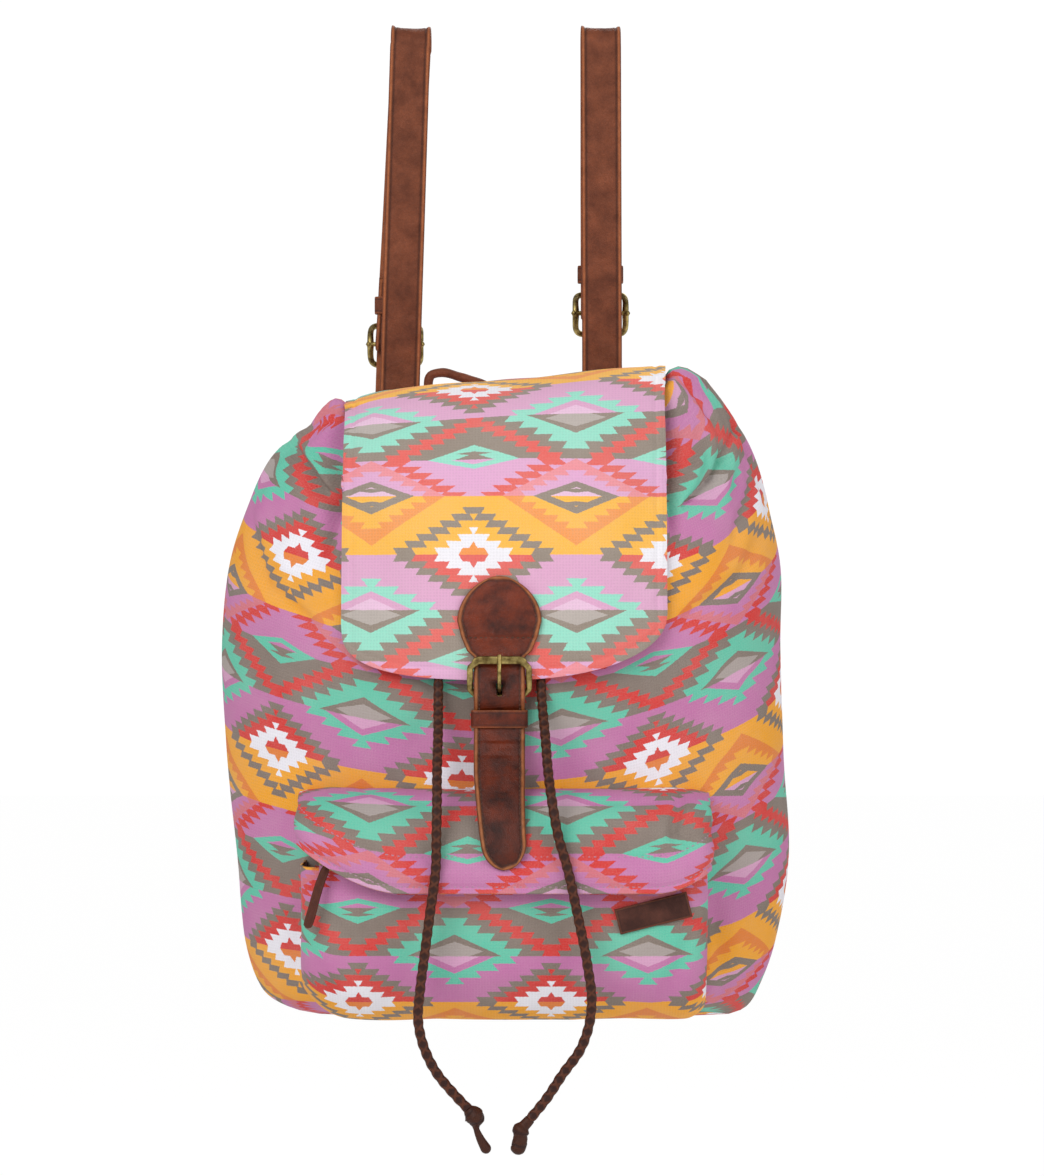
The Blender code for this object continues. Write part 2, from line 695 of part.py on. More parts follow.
def build_zip():
    """Zip: two tapes, one closed coil, and the slider with its ring pull and thong."""
    tape_y = POCKET_Y + CANVAS + GAP + ZIP_TAPE / 2
    half = COIL_HEIGHT / 2
    tape_z = half + GAP + ZIP_TAPE_HEIGHT / 2
    for name, z in (("zip_tape_upper", ZIP_Z + tape_z), ("zip_tape_lower", ZIP_Z - tape_z)):
        add_box(name, (0.0, tape_y, z), (ZIP_LENGTH, ZIP_TAPE, ZIP_TAPE_HEIGHT), ZIP_CLOTH)
    coil_y = tape_y - COIL_THICKNESS / 2 + ZIP_TAPE / 2
    add_box("zip_coil", (0.0, coil_y, ZIP_Z), (ZIP_LENGTH, COIL_THICKNESS, COIL_HEIGHT), ZIP_CLOTH, 0.0005)
    x = -ZIP_LENGTH / 2 + SLIDER_LENGTH / 2
    face_y = coil_y - COIL_THICKNESS / 2 - GAP - 0.0010
    back_edge = tape_y - ZIP_TAPE / 2 - GAP
    slider = add_box("zip_slider", (x, (face_y + back_edge) / 2, ZIP_Z),
                     (SLIDER_LENGTH, back_edge - face_y, SLIDER_HEIGHT), BRASS, 0.0006)
    channel = add_box("slider_channel", (x, coil_y + 0.002, ZIP_Z),
                      (SLIDER_LENGTH * 1.5, COIL_THICKNESS + 2 * GAP + 0.004, COIL_HEIGHT + 2 * GAP), BRASS)
    cut(slider, to_cutters(channel))
    bail_y = face_y - BAIL_REACH
    arch = [(x - 0.0046, face_y + 0.0004, ZIP_Z), (x - 0.0046, bail_y + 0.0012, ZIP_Z),
            (x - 0.0036, bail_y, ZIP_Z), (x + 0.0036, bail_y, ZIP_Z),
            (x + 0.0046, bail_y + 0.0012, ZIP_Z), (x + 0.0046, face_y + 0.0004, ZIP_Z)]
    bail = as_mesh(add_wire("slider_bail", arch, BAIL_WIRE, BRASS, resolution=1))
    cut(slider, to_cutters(bail), "UNION")
    ring_z = ZIP_Z + BAIL_WIRE + PULL_WIRE + GAP - PULL_RADIUS
    turns = np.linspace(0.0, 2 * math.pi, 14, endpoint=False)
    ring = [(x, bail_y + PULL_RADIUS * math.cos(t), ring_z + PULL_RADIUS * math.sin(t)) for t in turns]
    add_wire("zip_pull", ring, PULL_WIRE, BRASS, closed=True, resolution=1)
    eye_z = ring_z - PULL_RADIUS
    half = THONG_WIDTH / 2
    turns = np.linspace(0.0, math.pi, 7)
    crown = [(0.85 * half * math.cos(t), 0.0004 + half * 0.65 * math.sin(t)) for t in turns]
    outline = crown + [(-half * 0.85, -THONG_LENGTH + 0.003), (-half * 0.2, -THONG_LENGTH),
                       (half, -THONG_LENGTH + 0.006)]
    hole = [(THONG_HOLE * math.cos(t), THONG_HOLE * math.sin(t)) for t in np.linspace(0, 2 * math.pi, 9)[:-1]]
    curve = bpy.data.curves.new("zip_thong", "CURVE")
    curve.dimensions = "2D"
    curve.fill_mode = "BOTH"
    curve.extrude = THONG_THICKNESS / 2
    for points in (outline, hole):
        spline = curve.splines.new("POLY")
        spline.points.add(len(points) - 1)
        for slot, (px, pz) in zip(spline.points, points):
            slot.co = (px, pz, 0.0, 1.0)
        spline.use_cyclic_u = True
    curve.materials.append(CORD_LEATHER)
    thong = bpy.data.objects.new("zip_thong", curve)
    thong.location = (x, bail_y, eye_z)
    thong.rotation_euler = (math.pi / 2, math.radians(THONG_LEAN), 0.0)
    BAG.objects.link(thong)
    as_mesh(thong)


def closure_half_width(distance, total):
    """Half width of the closure leather: round tab, neck, even billet and rounded tip."""
    if distance < 0.027:
        return max(0.005, TAB_WIDTH / 2 * math.sqrt(1.0 - (1.0 - distance / 0.027) ** 2))
    if distance < 0.0445:
        return TAB_WIDTH / 2 + (TAB_NECK - TAB_WIDTH) / 2 * ((distance - 0.027) / 0.0175) ** 1.5
    if distance < 0.048:
        return TAB_NECK / 2 + (BILLET_WIDTH - TAB_NECK) / 2 * (distance - 0.0445) / 0.0035
    left = total - distance
    taper = BILLET_WIDTH / 2 * (0.84 + 0.16 * min(1.0, left / 0.060))
    if left < 0.013:
        return max(0.003, taper * math.sqrt(1.0 - (1.0 - left / 0.013) ** 2))
    return taper


def build_closure():
    """Buckled flap closure: tab and billet, chape on the body, keeper, frame and prong."""
    x = CLOSURE_OFFSET
    bar = FRAME_WIRE / 2
    leg_y = min(front_y(0.0, CLOSURE_Z), front_y(0.0, CLOSURE_Z - CHAPE_LENGTH)) - GAP - CHAPE_THICKNESS / 2
    fold_y = leg_y - 2 * CHAPE_LOOP
    bar_y = fold_y + CHAPE_THICKNESS / 2 + GAP + bar
    over_y = fold_y - CHAPE_THICKNESS / 2 - GAP - LEATHER / 2
    turn_y = leg_y - CHAPE_THICKNESS - 2 * GAP - KEEPER_THICKNESS
    kept_y = turn_y - CHAPE_THICKNESS / 2 - 3 * GAP - LEATHER / 2
    tip_y = HOOD_Y - 2 * GAP - LEATHER / 2
    side = flap_side()
    lift = FLAP_THICKNESS / 2 + GAP + LEATHER / 2
    outward = path_normals(side)
    outward *= np.where(outward[:, :1] > 0, -1.0, 1.0)
    tab_top = SHOULDER_Z - TAB_TOP_DROP
    on_flap = [tuple(p) for p in (side + outward * lift) if CLOSURE_Z + 0.026 < p[1] < tab_top][::4]
    top_y = side[-1, 0] - lift - GAP
    reach = tip_y - kept_y
    drape = [(kept_y + reach * share, CLOSURE_Z - drop) for share, drop in
             ((0.07, 0.0250), (0.24, 0.0360), (0.50, 0.0500), (0.76, 0.0635), (0.94, 0.0780), (1.0, 0.0880))]
    points = on_flap + [(top_y, CLOSURE_Z + 0.0235), (top_y, CLOSURE_Z + 0.0195),
                        (0.5 * top_y + 0.5 * over_y, CLOSURE_Z + 0.0108),
                        (over_y, CLOSURE_Z + 0.0030), (over_y, CLOSURE_Z - 0.0010),
                        (kept_y, CLOSURE_Z - 0.0085), (kept_y, CLOSURE_Z - 0.0105),
                        (kept_y, CLOSURE_Z - 0.0175)]
    points += drape + [(tip_y, CLOSURE_Z - 0.0975)]
    path = smooth_path(points, 64)
    total = float(np.sum(np.linalg.norm(np.diff(path, axis=0), axis=1)))
    along = np.linspace(0.0, total, len(path))
    half = [closure_half_width(d, total) for d in along]
    swing = 0.0040 * np.clip((along - 0.6 * total) / (0.4 * total), 0.0, 1.0) ** 2
    strap = add_strip("closure_strap", x + swing, path, half, LEATHER, STRAP_LEATHER)
    hole = add_slot_cutter("prong_hole", (x, (top_y + over_y) / 2, CLOSURE_Z + 0.0058), 0.0100, 0.0036, 0.020)
    cut(strap, hole)

    turns = np.linspace(math.pi, 0.0, 9)
    middle_y = leg_y - CHAPE_LOOP
    fold = [(middle_y - CHAPE_LOOP * math.cos(t), CLOSURE_Z + CHAPE_LOOP * math.sin(t)) for t in turns]
    low = CLOSURE_Z - CHAPE_LENGTH
    back_leg = [(leg_y, z) for z in np.linspace(low, CLOSURE_Z - 0.004, 6)]
    front_leg = [(fold_y * 0.8 + turn_y * 0.2, CLOSURE_Z - 0.0025),
                 (fold_y * 0.3 + turn_y * 0.7, CLOSURE_Z - 0.0055),
                 (turn_y, CLOSURE_Z - 0.0080), (turn_y, CLOSURE_Z - CHAPE_TURN)]
    chape = add_strip("closure_chape", x, np.array(back_leg + fold + front_leg), CHAPE_WIDTH / 2,
                      CHAPE_THICKNESS, STRAP_LEATHER)
    slot = add_slot_cutter("chape_slot", (x, bar_y, CLOSURE_Z + 0.0012), 0.0120, PRONG_EYE + 0.0012, 0.020)
    cut(chape, slot)

    rise = FRAME_HEIGHT - FRAME_WIRE
    high_y = top_y - LEATHER / 2 - 4 * GAP - bar
    wide = (FRAME_WIDTH - FRAME_WIRE) / 2
    clip = FRAME_CLIP
    corners = [(-wide + clip, 0.0), (wide - clip, 0.0), (wide, clip), (wide, rise - clip),
               (wide - clip, rise), (-wide + clip, rise), (-wide, rise - clip), (-wide, clip)]
    loop = [(x + u, bar_y + (high_y - bar_y) * v / rise, CLOSURE_Z + v) for u, v in corners]
    add_wire("closure_frame", loop, bar, BRASS, closed=True)

    front = high_y - bar - PRONG_WIRE / 2 - GAP - bar_y
    rod = [(x, bar_y + front * share, CLOSURE_Z + climb) for share, climb in
           ((0.18, 0.0020), (0.55, 0.0044), (0.94, 0.0097), (1.06, 0.0152), (1.02, 0.0212), (0.99, 0.0252))]
    build_prong("closure_prong", rod, (x, bar_y, CLOSURE_Z), bar)

    keep_low = kept_y - LEATHER / 2 - 3 * GAP
    keep_high = turn_y + CHAPE_THICKNESS / 2 + GAP
    add_frame_loop("closure_keeper", (x, (keep_low + keep_high) / 2, CLOSURE_Z - KEEPER_DROP),
                   (BILLET_WIDTH + 0.0010, keep_high - keep_low), KEEPER_THICKNESS, KEEPER_HEIGHT,
                   STRAP_LEATHER)


def build_prong(name, rod, bar, bar_radius):
    """Buckle prong: a bent rod joined to an eye that turns on the bar."""
    rod_mesh = as_mesh(add_wire(name + "_rod", smooth_path(rod, 9), PRONG_WIRE / 2, BRASS))
    bore = bar_radius + GAP
    eye = add_cylinder(name, bar, bore + 0.0011, PRONG_EYE, "X", BRASS, 14)
    cut(eye, to_cutters(rod_mesh), "UNION")
    hole = add_cylinder(name + "_bore", bar, bore, PRONG_EYE * 3, "X", BRASS, 14)
    cut(eye, to_cutters(hole))


def strap_half_width(left, half):
    """Half width near a strap's rounded tip."""
    if left < half:
        return max(0.003, half * math.sqrt(1.0 - (1.0 - left / half) ** 2))
    return half


def build_strap(index):
    """One shoulder strap: sewn end, top bend, buckle end, tail with holes, keeper and buckle."""
    side = SIDE_NAMES[SIDES[index]]
    bar_x, bar_z = BUCKLE_X[index], -BUCKLE_DROP[index]
    top_x, seam_x, foot_x = STRAP_TOP_X[index], STRAP_SEAM_X[index], STRAP_FOOT_X[index]
    bar_y = BUCKLE_STANDOFF
    wrap = BUCKLE_BAR / 2 + GAP + LEATHER / 2
    seam_low = SHOULDER_Z - STRAP_SEAM_DROP
    seam_y = back_y(abs(seam_x) - STRAP_WIDTH / 2, seam_low) + 2 * GAP + FLAP_THICKNESS + LEATHER / 2 + 0.0005
    bend = STRAP_BEND + LEATHER / 2

    front = smooth_path([(seam_y, seam_low), (seam_y, seam_low + STRAP_SEAM_LENGTH),
                         (0.4 * seam_y - 0.002, 0.837 * SHOULDER_Z), (-0.0045, 0.529 * SHOULDER_Z),
                         (-0.0085, 0.220 * SHOULDER_Z), (-bend, -STRAP_BEND - 0.002)], 14)
    turns = np.linspace(math.pi, 0.0, 9)
    arch = np.stack([bend * np.cos(turns), -STRAP_BEND + bend * np.sin(turns)], axis=1)
    rear_y = bar_y + wrap
    rear = smooth_path([(bend, -STRAP_BEND - 0.002), (bend + 0.25 * (rear_y - bend), -0.045),
                        (rear_y, bar_z + 0.070), (rear_y, bar_z + 0.035),
                        (rear_y, bar_z + 0.004)], 14)
    turns = np.linspace(0.0, math.pi, 9)
    fold = np.stack([bar_y + wrap * np.cos(turns), bar_z - wrap * np.sin(turns)], axis=1)
    inner = bar_y + wrap - LEATHER - GAP
    back = np.array([(bar_y - 0.75 * wrap, bar_z + 0.0045), (inner - 0.0005, bar_z + 0.0110),
                     (inner, bar_z + 0.0150), (inner, bar_z + STRAP_TURN)])
    path = np.concatenate([front, arch, rear, fold, back])

    def rear_x(z):
        return np.interp(z, [bar_z, 0.0], [bar_x, top_x])

    x = np.concatenate([np.interp(front[:, 1], [seam_low, 0.0], [seam_x, top_x]), np.full(9, top_x),
                        rear_x(rear[:, 1]), np.full(9, bar_x), rear_x(back[:, 1])])
    strap = add_strip("strap_" + side, x, path, STRAP_WIDTH / 2, LEATHER, STRAP_LEATHER)
    cut(strap, add_slot_cutter("strap_slot_" + side, (bar_x, bar_y - 0.001, bar_z - 0.0008), 0.0110,
                               PRONG_EYE + 0.0012, 0.0120))

    foot_z = BASE_Z + 0.012
    foot_y = back_y(foot_x, foot_z + 3 * TAIL_SEAM_LENGTH) + 2 * GAP + LEATHER / 2
    over = bar_y + wrap + LEATHER + GAP
    tail = smooth_path([(foot_y, foot_z), (foot_y + 0.0006, foot_z + TAIL_SEAM_LENGTH), (over, bar_z - 0.040),
                        (over, bar_z - 0.026), (over, bar_z + TAIL_TIP)], 40)
    steps = np.linalg.norm(np.diff(tail, axis=0), axis=1)
    left = np.concatenate([np.cumsum(steps[::-1])[::-1], [0.0]])
    half = [strap_half_width(d, TAIL_WIDTH / 2) for d in left]
    tail_x = np.interp(tail[:, 1], [foot_z, bar_z, 0.0], [foot_x, bar_x, top_x])
    strip = add_strip("strap_tail_" + side, tail_x, tail, half, LEATHER, STRAP_LEATHER)
    hole_z = bar_z - 0.0047
    cut(strip, add_slot_cutter("tail_slot_" + side, (bar_x, over, hole_z), 0.0090, 0.0040, 0.02))
    for step in range(1, TAIL_HOLES):
        z = hole_z - step * TAIL_HOLE_PITCH
        hole_x = float(np.interp(z, [foot_z, bar_z], [foot_x, bar_x]))
        hole_y = float(np.interp(z, tail[:, 1], tail[:, 0]))
        cut(strip, to_cutters(add_cylinder("tail_hole_%s_%d" % (side, step), (hole_x, hole_y, z),
                                           TAIL_HOLE / 2, 0.012, "Y", BRASS, 10)))

    wide = (BUCKLE_WIDTH - BUCKLE_WIRE) / 2
    tall = (BUCKLE_HEIGHT - BUCKLE_WIRE) / 2
    loop = []
    for t in np.linspace(0.0, 2 * math.pi, 20, endpoint=False):
        u = wide * math.copysign(abs(math.cos(t)) ** 0.3, math.cos(t))
        v = tall * math.copysign(abs(math.sin(t)) ** 0.3, math.sin(t))
        loop.append((bar_x + u, bar_y + BUCKLE_BOW * (v / tall) ** 2, bar_z + v))
    ring = as_mesh(add_wire("strap_ring_" + side, loop, BUCKLE_WIRE / 2, BRASS, closed=True))
    frame = add_cylinder("strap_frame_" + side, (bar_x, bar_y, bar_z), BUCKLE_BAR / 2,
                         BUCKLE_WIDTH + 0.0026, "X", BRASS, 12)
    cut(frame, to_cutters(ring), "UNION")

    rest = BUCKLE_BOW + BUCKLE_WIRE / 2 + PRONG_WIRE / 2 + 2 * GAP
    rod = [(bar_x, bar_y + o, bar_z - drop) for o, drop in
           ((0.0018, 0.0016), (0.42 * rest, 0.0042), (0.72 * rest, 0.0072), (0.97 * rest, 0.0100),
            (rest, tall), (rest, tall + 0.0035))]
    build_prong("strap_prong_" + side, rod, (bar_x, bar_y, bar_z), BUCKLE_BAR / 2)

    low = inner - LEATHER / 2 - GAP
    high = over + LEATHER / 2 + GAP
    keeper_z = bar_z + STRAP_KEEPER_RISE
    add_frame_loop("strap_keeper_" + side, (float(rear_x(keeper_z)), (low + high) / 2, keeper_z),
                   (STRAP_WIDTH + 0.0016, high - low), KEEPER_THICKNESS, STRAP_KEEPER_HEIGHT, STRAP_LEATHER)


def build_haul_loop():
    """Rolled leather loop, both ends sewn down behind the flap's seam."""
    radius = HAUL_ROLL / 2
    y = back_y(0.0, SHOULDER_Z - STRAP_SEAM_DROP) + 2 * GAP + FLAP_THICKNESS + radius + 0.0005
    foot = SHOULDER_Z - HAUL_DROP
    span = HAUL_RIGHT_X - HAUL_LEFT_X
    route = [(HAUL_LEFT_X, y, foot), (HAUL_LEFT_X - 0.0015, y, foot + 0.6 * HAUL_RISE),
             (HAUL_LEFT_X + 0.01 * span, y, foot + 0.95 * HAUL_RISE),
             (HAUL_LEFT_X + 0.12 * span, y, foot + HAUL_RISE),
             (HAUL_LEFT_X + 0.34 * span, y, foot + HAUL_RISE - 0.35 * HAUL_SAG),
             (HAUL_LEFT_X + 0.62 * span, y, foot + HAUL_RISE - HAUL_SAG),
             (HAUL_LEFT_X + 0.90 * span, y, foot + 0.45 * HAUL_RISE), (HAUL_RIGHT_X, y, foot)]
    add_wire("haul_loop", smooth_path(route, 18), radius, STRAP_LEATHER)


# Drawcord ends from the tunnel to the knots, chosen along how they hang (the photo's curves)
CORD_ROUTES = {
    -1: ((-0.0335, -0.1165, -0.2540), (-0.0360, -0.1310, -0.2700), (-0.0375, -0.1470, -0.3100),
         (-0.0382, -0.1546, -0.3500), (-0.0386, -0.1580, -0.3850), (-0.0386, -0.1590, -0.4050),
         (-0.0386, -0.1640, -0.4200), (-0.0384, -0.1770, -0.4400), (-0.0386, -0.1910, -0.4600),
         (-0.0384, -0.2015, -0.4770), (-0.0386, -0.2045, -0.4950), (-0.0390, -0.2045, -0.5150),
         (-0.0422, -0.2040, -0.5400), (-0.0455, -0.2035, -0.5650), (-0.0480, -0.2035, -0.5850),
         (-0.0491, -0.2035, -0.6030), (-0.0457, -0.2035, -0.6180), (-0.0388, -0.2035, -0.6320),
         (-0.0290, -0.2035, -0.6440), (-0.0205, -0.2035, -0.6530)),
    1: ((0.0262, -0.1165, -0.2530), (0.0240, -0.1310, -0.2700), (0.0225, -0.1470, -0.3100),
        (0.0218, -0.1550, -0.3500), (0.0216, -0.1585, -0.3850), (0.0216, -0.1592, -0.4050),
        (0.0222, -0.1650, -0.4200), (0.0240, -0.1780, -0.4400), (0.0256, -0.1910, -0.4600),
        (0.0278, -0.2015, -0.4770), (0.0310, -0.2045, -0.4950), (0.0366, -0.2045, -0.5150),
        (0.0425, -0.2040, -0.5420), (0.0480, -0.2035, -0.5700), (0.0505, -0.2035, -0.5930),
        (0.0490, -0.2035, -0.6050), (0.0440, -0.2035, -0.6190), (0.0340, -0.2035, -0.6330),
        (0.0240, -0.2035, -0.6480), (0.0150, -0.2035, -0.6590)),
}
KNOT_ROUTES = {
    -1: ((-0.0164, -0.2035, -0.6575), (-0.0128, -0.2035, -0.6650), (-0.0100, -0.2035, -0.6720),
         (-0.0084, -0.2035, -0.6790)),
    1: ((0.0085, -0.2035, -0.6655), (0.0084, -0.2035, -0.6720), (0.0078, -0.2035, -0.6765),
        (0.0070, -0.2035, -0.6810)),
}
KNOT_SHAPE = ((0.0, 0.50), (0.10, 0.85), (0.22, 1.0), (0.36, 0.95), (0.48, 0.55), (0.65, 0.45), (1.0, 0.55))


def build_drawcord():
    """Drawcord: the stretch inside the tunnel, two free ends and their knots."""
    radius = CORD / 2
    start = eyelet_angle(1) - math.radians(2.0)
    stop = eyelet_angle(-1) + 2 * math.pi + math.radians(2.0)
    inside = [casing_point(a) for a in np.linspace(start, stop, 34)]
    add_wire("drawcord_inner", inside, radius, CORD_LEATHER)
    for side in SIDES:
        name = SIDE_NAMES[side]
        angle = eyelet_angle(side)
        out = casing_normal(angle)
        middle = casing_point(angle)
        route = [tuple(middle + out * (radius + 2 * GAP)), tuple(middle + out * 1.7 * CASING_RADIUS),
                 *CORD_ROUTES[side]]
        rough = smooth_path(route, 200)
        length = float(np.sum(np.linalg.norm(np.diff(rough, axis=0), axis=1)))
        count = int(length / CORD_POINT_STEP) + 2
        add_wire("drawcord_" + name, smooth_path(route, count), radius, CORD_LEATHER)
        end = np.array(CORD_ROUTES[side][-1])
        ahead = np.array(KNOT_ROUTES[side][0]) - end
        first = end + ahead / np.linalg.norm(ahead) * 3 * GAP
        line = smooth_path([tuple(first)] + list(KNOT_ROUTES[side]), 14)
        knot = add_wire("knot_" + name, line, KNOT / 2, CORD_LEATHER)
        share = np.linspace(0.0, 1.0, len(line))
        shape = np.array(KNOT_SHAPE)
        for slot, size in zip(knot.data.splines[0].points, np.interp(share, shape[:, 0], shape[:, 1])):
            slot.radius = size


build_body()
build_base()
build_casing()
build_flap()
build_pocket()
build_patch()
build_zip()
build_closure()
for strap_index in range(len(SIDES)):
    build_strap(strap_index)
build_haul_loop()
build_drawcord()
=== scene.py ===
"""Visual model of a drawstring canvas backpack with a buckled flap, a hooded zip pocket and
leather straps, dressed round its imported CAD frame.  Metres, +Z up, front of the bag towards -Y."""
import math

import bmesh
import bpy
import numpy as np
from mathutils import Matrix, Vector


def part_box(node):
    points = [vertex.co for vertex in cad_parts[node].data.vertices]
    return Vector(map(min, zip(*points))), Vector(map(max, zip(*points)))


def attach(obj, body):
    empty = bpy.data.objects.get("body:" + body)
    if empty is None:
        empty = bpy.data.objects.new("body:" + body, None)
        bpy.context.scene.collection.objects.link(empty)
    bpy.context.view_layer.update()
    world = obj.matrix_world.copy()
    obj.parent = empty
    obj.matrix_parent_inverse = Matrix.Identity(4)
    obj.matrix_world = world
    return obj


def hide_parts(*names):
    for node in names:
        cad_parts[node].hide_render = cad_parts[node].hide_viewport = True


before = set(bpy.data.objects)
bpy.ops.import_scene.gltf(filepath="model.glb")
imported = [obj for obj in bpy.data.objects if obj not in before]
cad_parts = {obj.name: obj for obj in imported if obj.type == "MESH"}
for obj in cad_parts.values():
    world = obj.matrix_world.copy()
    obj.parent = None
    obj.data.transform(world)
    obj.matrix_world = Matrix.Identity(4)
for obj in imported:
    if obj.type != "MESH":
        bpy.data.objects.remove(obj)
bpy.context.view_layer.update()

# Camera, floor and light
# A long lens looks level at the middle of the hanging bag, as in a product photograph.
# The floor and the surround are plain and pale; one large soft lamp and two fills light the bag.
lens = bpy.data.cameras.new("camera")
lens.sensor_fit = "HORIZONTAL"
lens.sensor_width = 36.0
lens.lens = 112.1
camera = bpy.data.objects.new("camera", lens)
camera.location = (0.0105, -2.070, -0.354)
camera.rotation_euler = (math.pi / 2, 0.0, 0.0)
bpy.context.scene.collection.objects.link(camera)
bpy.context.scene.camera = camera
bpy.context.scene.view_settings.view_transform = "Standard"


def srgb(code):
    """Linear colour of an sRGB hex code: the usual 2.4 power curve with its short straight foot."""
    parts = np.array([int(code[i:i + 2], 16) / 255.0 for i in (1, 3, 5)])
    linear = np.where(parts <= 0.04045, parts / 12.92, ((parts + 0.055) / 1.055) ** 2.4)
    return (*linear.tolist(), 1.0)


def node(tree, kind, settings=None, links=None):
    """Add one shader node, with its settings by name and its inputs as numbers, colours, sockets or
    nodes, a node standing for its first output."""
    new = tree.nodes.new("ShaderNode" + kind)
    for key, value in (settings or {}).items():
        setattr(new, key, value)
    for key, value in (links or {}).items():
        if isinstance(value, bpy.types.Node):
            value = value.outputs[0]
        if isinstance(value, bpy.types.NodeSocket):
            tree.links.new(value, new.inputs[key])
        else:
            new.inputs[key].default_value = value
    return new


def add_lamp(name, place, target, size, power):
    """A square area lamp at a place, turned to face a target."""
    data = bpy.data.lights.new(name, "AREA")
    data.shape = "SQUARE"
    data.size = size
    data.energy = power
    lamp = bpy.data.objects.new(name, data)
    lamp.location = place
    aim = np.array(target) - np.array(place)
    flat = math.hypot(aim[0], aim[1])
    lamp.rotation_euler = (math.atan2(flat, -aim[2]), 0.0, math.atan2(-aim[0], aim[1]))
    bpy.context.scene.collection.objects.link(lamp)


add_lamp("key", (-1.5, -2.6, 1.3), (0.0, -0.1, -0.36), 1.9, 54.0)
add_lamp("fill", (2.3, -2.0, 0.2), (0.0, -0.1, -0.40), 2.2, 26.0)
add_lamp("back", (0.6, 2.4, 1.6), (0.0, 0.0, -0.30), 1.8, 30.0)

surround = bpy.data.worlds.new("white surround")
surround.use_nodes = True
sky = surround.node_tree
sky.nodes.clear()
ray = node(sky, "LightPath")
seen = node(sky, "Math", {"operation": "MAXIMUM"},
            {0: ray.outputs["Is Camera Ray"], 1: ray.outputs["Is Transmission Ray"]})
level = node(sky, "MapRange", links={"Value": seen, "To Min": 0.47, "To Max": 1.03})
glow = node(sky, "Background", links={"Color": srgb("#FFFFFF"), "Strength": level})
node(sky, "OutputWorld", links={"Surface": glow})
bpy.context.scene.world = surround

FLOOR_Z = -1.25
floor_mesh = bpy.data.meshes.new("floor")
floor_mesh.from_pydata([(-9, -6, FLOOR_Z), (9, -6, FLOOR_Z), (9, 12, FLOOR_Z), (-9, 12, FLOOR_Z)], [],
                       [(0, 1, 2, 3)])
floor = bpy.data.objects.new("floor", floor_mesh)
bpy.context.scene.collection.objects.link(floor)
paint = bpy.data.materials.new("pale studio floor")
paint.use_nodes = True
tree = paint.node_tree
tree.nodes.clear()
ray = node(tree, "LightPath")
seen = node(tree, "Math", {"operation": "MAXIMUM"},
            {0: ray.outputs["Is Camera Ray"], 1: ray.outputs["Is Glossy Ray"]})
share = node(tree, "Math", {"operation": "MULTIPLY"}, {0: seen, 1: 0.93})
matt = node(tree, "BsdfDiffuse", links={"Color": srgb("#EDEBE8")})
white = node(tree, "Emission", links={"Color": srgb("#FFFFFF"), "Strength": 1.04})
both = node(tree, "MixShader", links={0: share, 1: matt, 2: white})
node(tree, "OutputMaterial", links={"Surface": both})
floor_mesh.materials.append(paint)


# Drawcord
# Two free ends of one soft cord, plaited from four dark brown leather laces, 6 mm thick.  They leave
# the mouth through brass eyelets, hang over the pocket and end in a thumb knot with a short tail.
CORD = 0.0060
PLAIT_PITCH = 0.0032
CORD_ROUTES = {
    "left": ((-0.02647, -0.09341, -0.2425), (-0.0307, -0.1041, -0.2450),
             (-0.0335, -0.1165, -0.2540), (-0.0360, -0.1310, -0.2700), (-0.0375, -0.1470, -0.3100),
             (-0.0382, -0.1546, -0.3500), (-0.0386, -0.1580, -0.3850), (-0.0386, -0.1590, -0.4050),
             (-0.0386, -0.1640, -0.4200), (-0.0384, -0.1770, -0.4400), (-0.0386, -0.1910, -0.4600),
             (-0.0384, -0.2015, -0.4770), (-0.0386, -0.2045, -0.4950), (-0.0390, -0.2045, -0.5150),
             (-0.0422, -0.2040, -0.5400), (-0.0455, -0.2035, -0.5650), (-0.0480, -0.2035, -0.5850),
             (-0.0491, -0.2035, -0.6030), (-0.0457, -0.2035, -0.6180), (-0.0388, -0.2035, -0.6320),
             (-0.0290, -0.2035, -0.6440), (-0.0205, -0.2035, -0.6530)),
    "right": ((0.02647, -0.09341, -0.2425), (0.0270, -0.1041, -0.2450),
              (0.0262, -0.1165, -0.2530), (0.0240, -0.1310, -0.2700), (0.0225, -0.1470, -0.3100),
              (0.0218, -0.1550, -0.3500), (0.0216, -0.1585, -0.3850), (0.0216, -0.1592, -0.4050),
              (0.0222, -0.1650, -0.4200), (0.0240, -0.1780, -0.4400), (0.0256, -0.1910, -0.4600),
              (0.0278, -0.2015, -0.4770), (0.0310, -0.2045, -0.4950), (0.0366, -0.2045, -0.5150),
              (0.0425, -0.2040, -0.5420), (0.0480, -0.2035, -0.5700), (0.0505, -0.2035, -0.5930),
              (0.0490, -0.2035, -0.6050), (0.0440, -0.2035, -0.6190), (0.0340, -0.2035, -0.6330),
              (0.0240, -0.2035, -0.6480), (0.0150, -0.2035, -0.6590)),
}
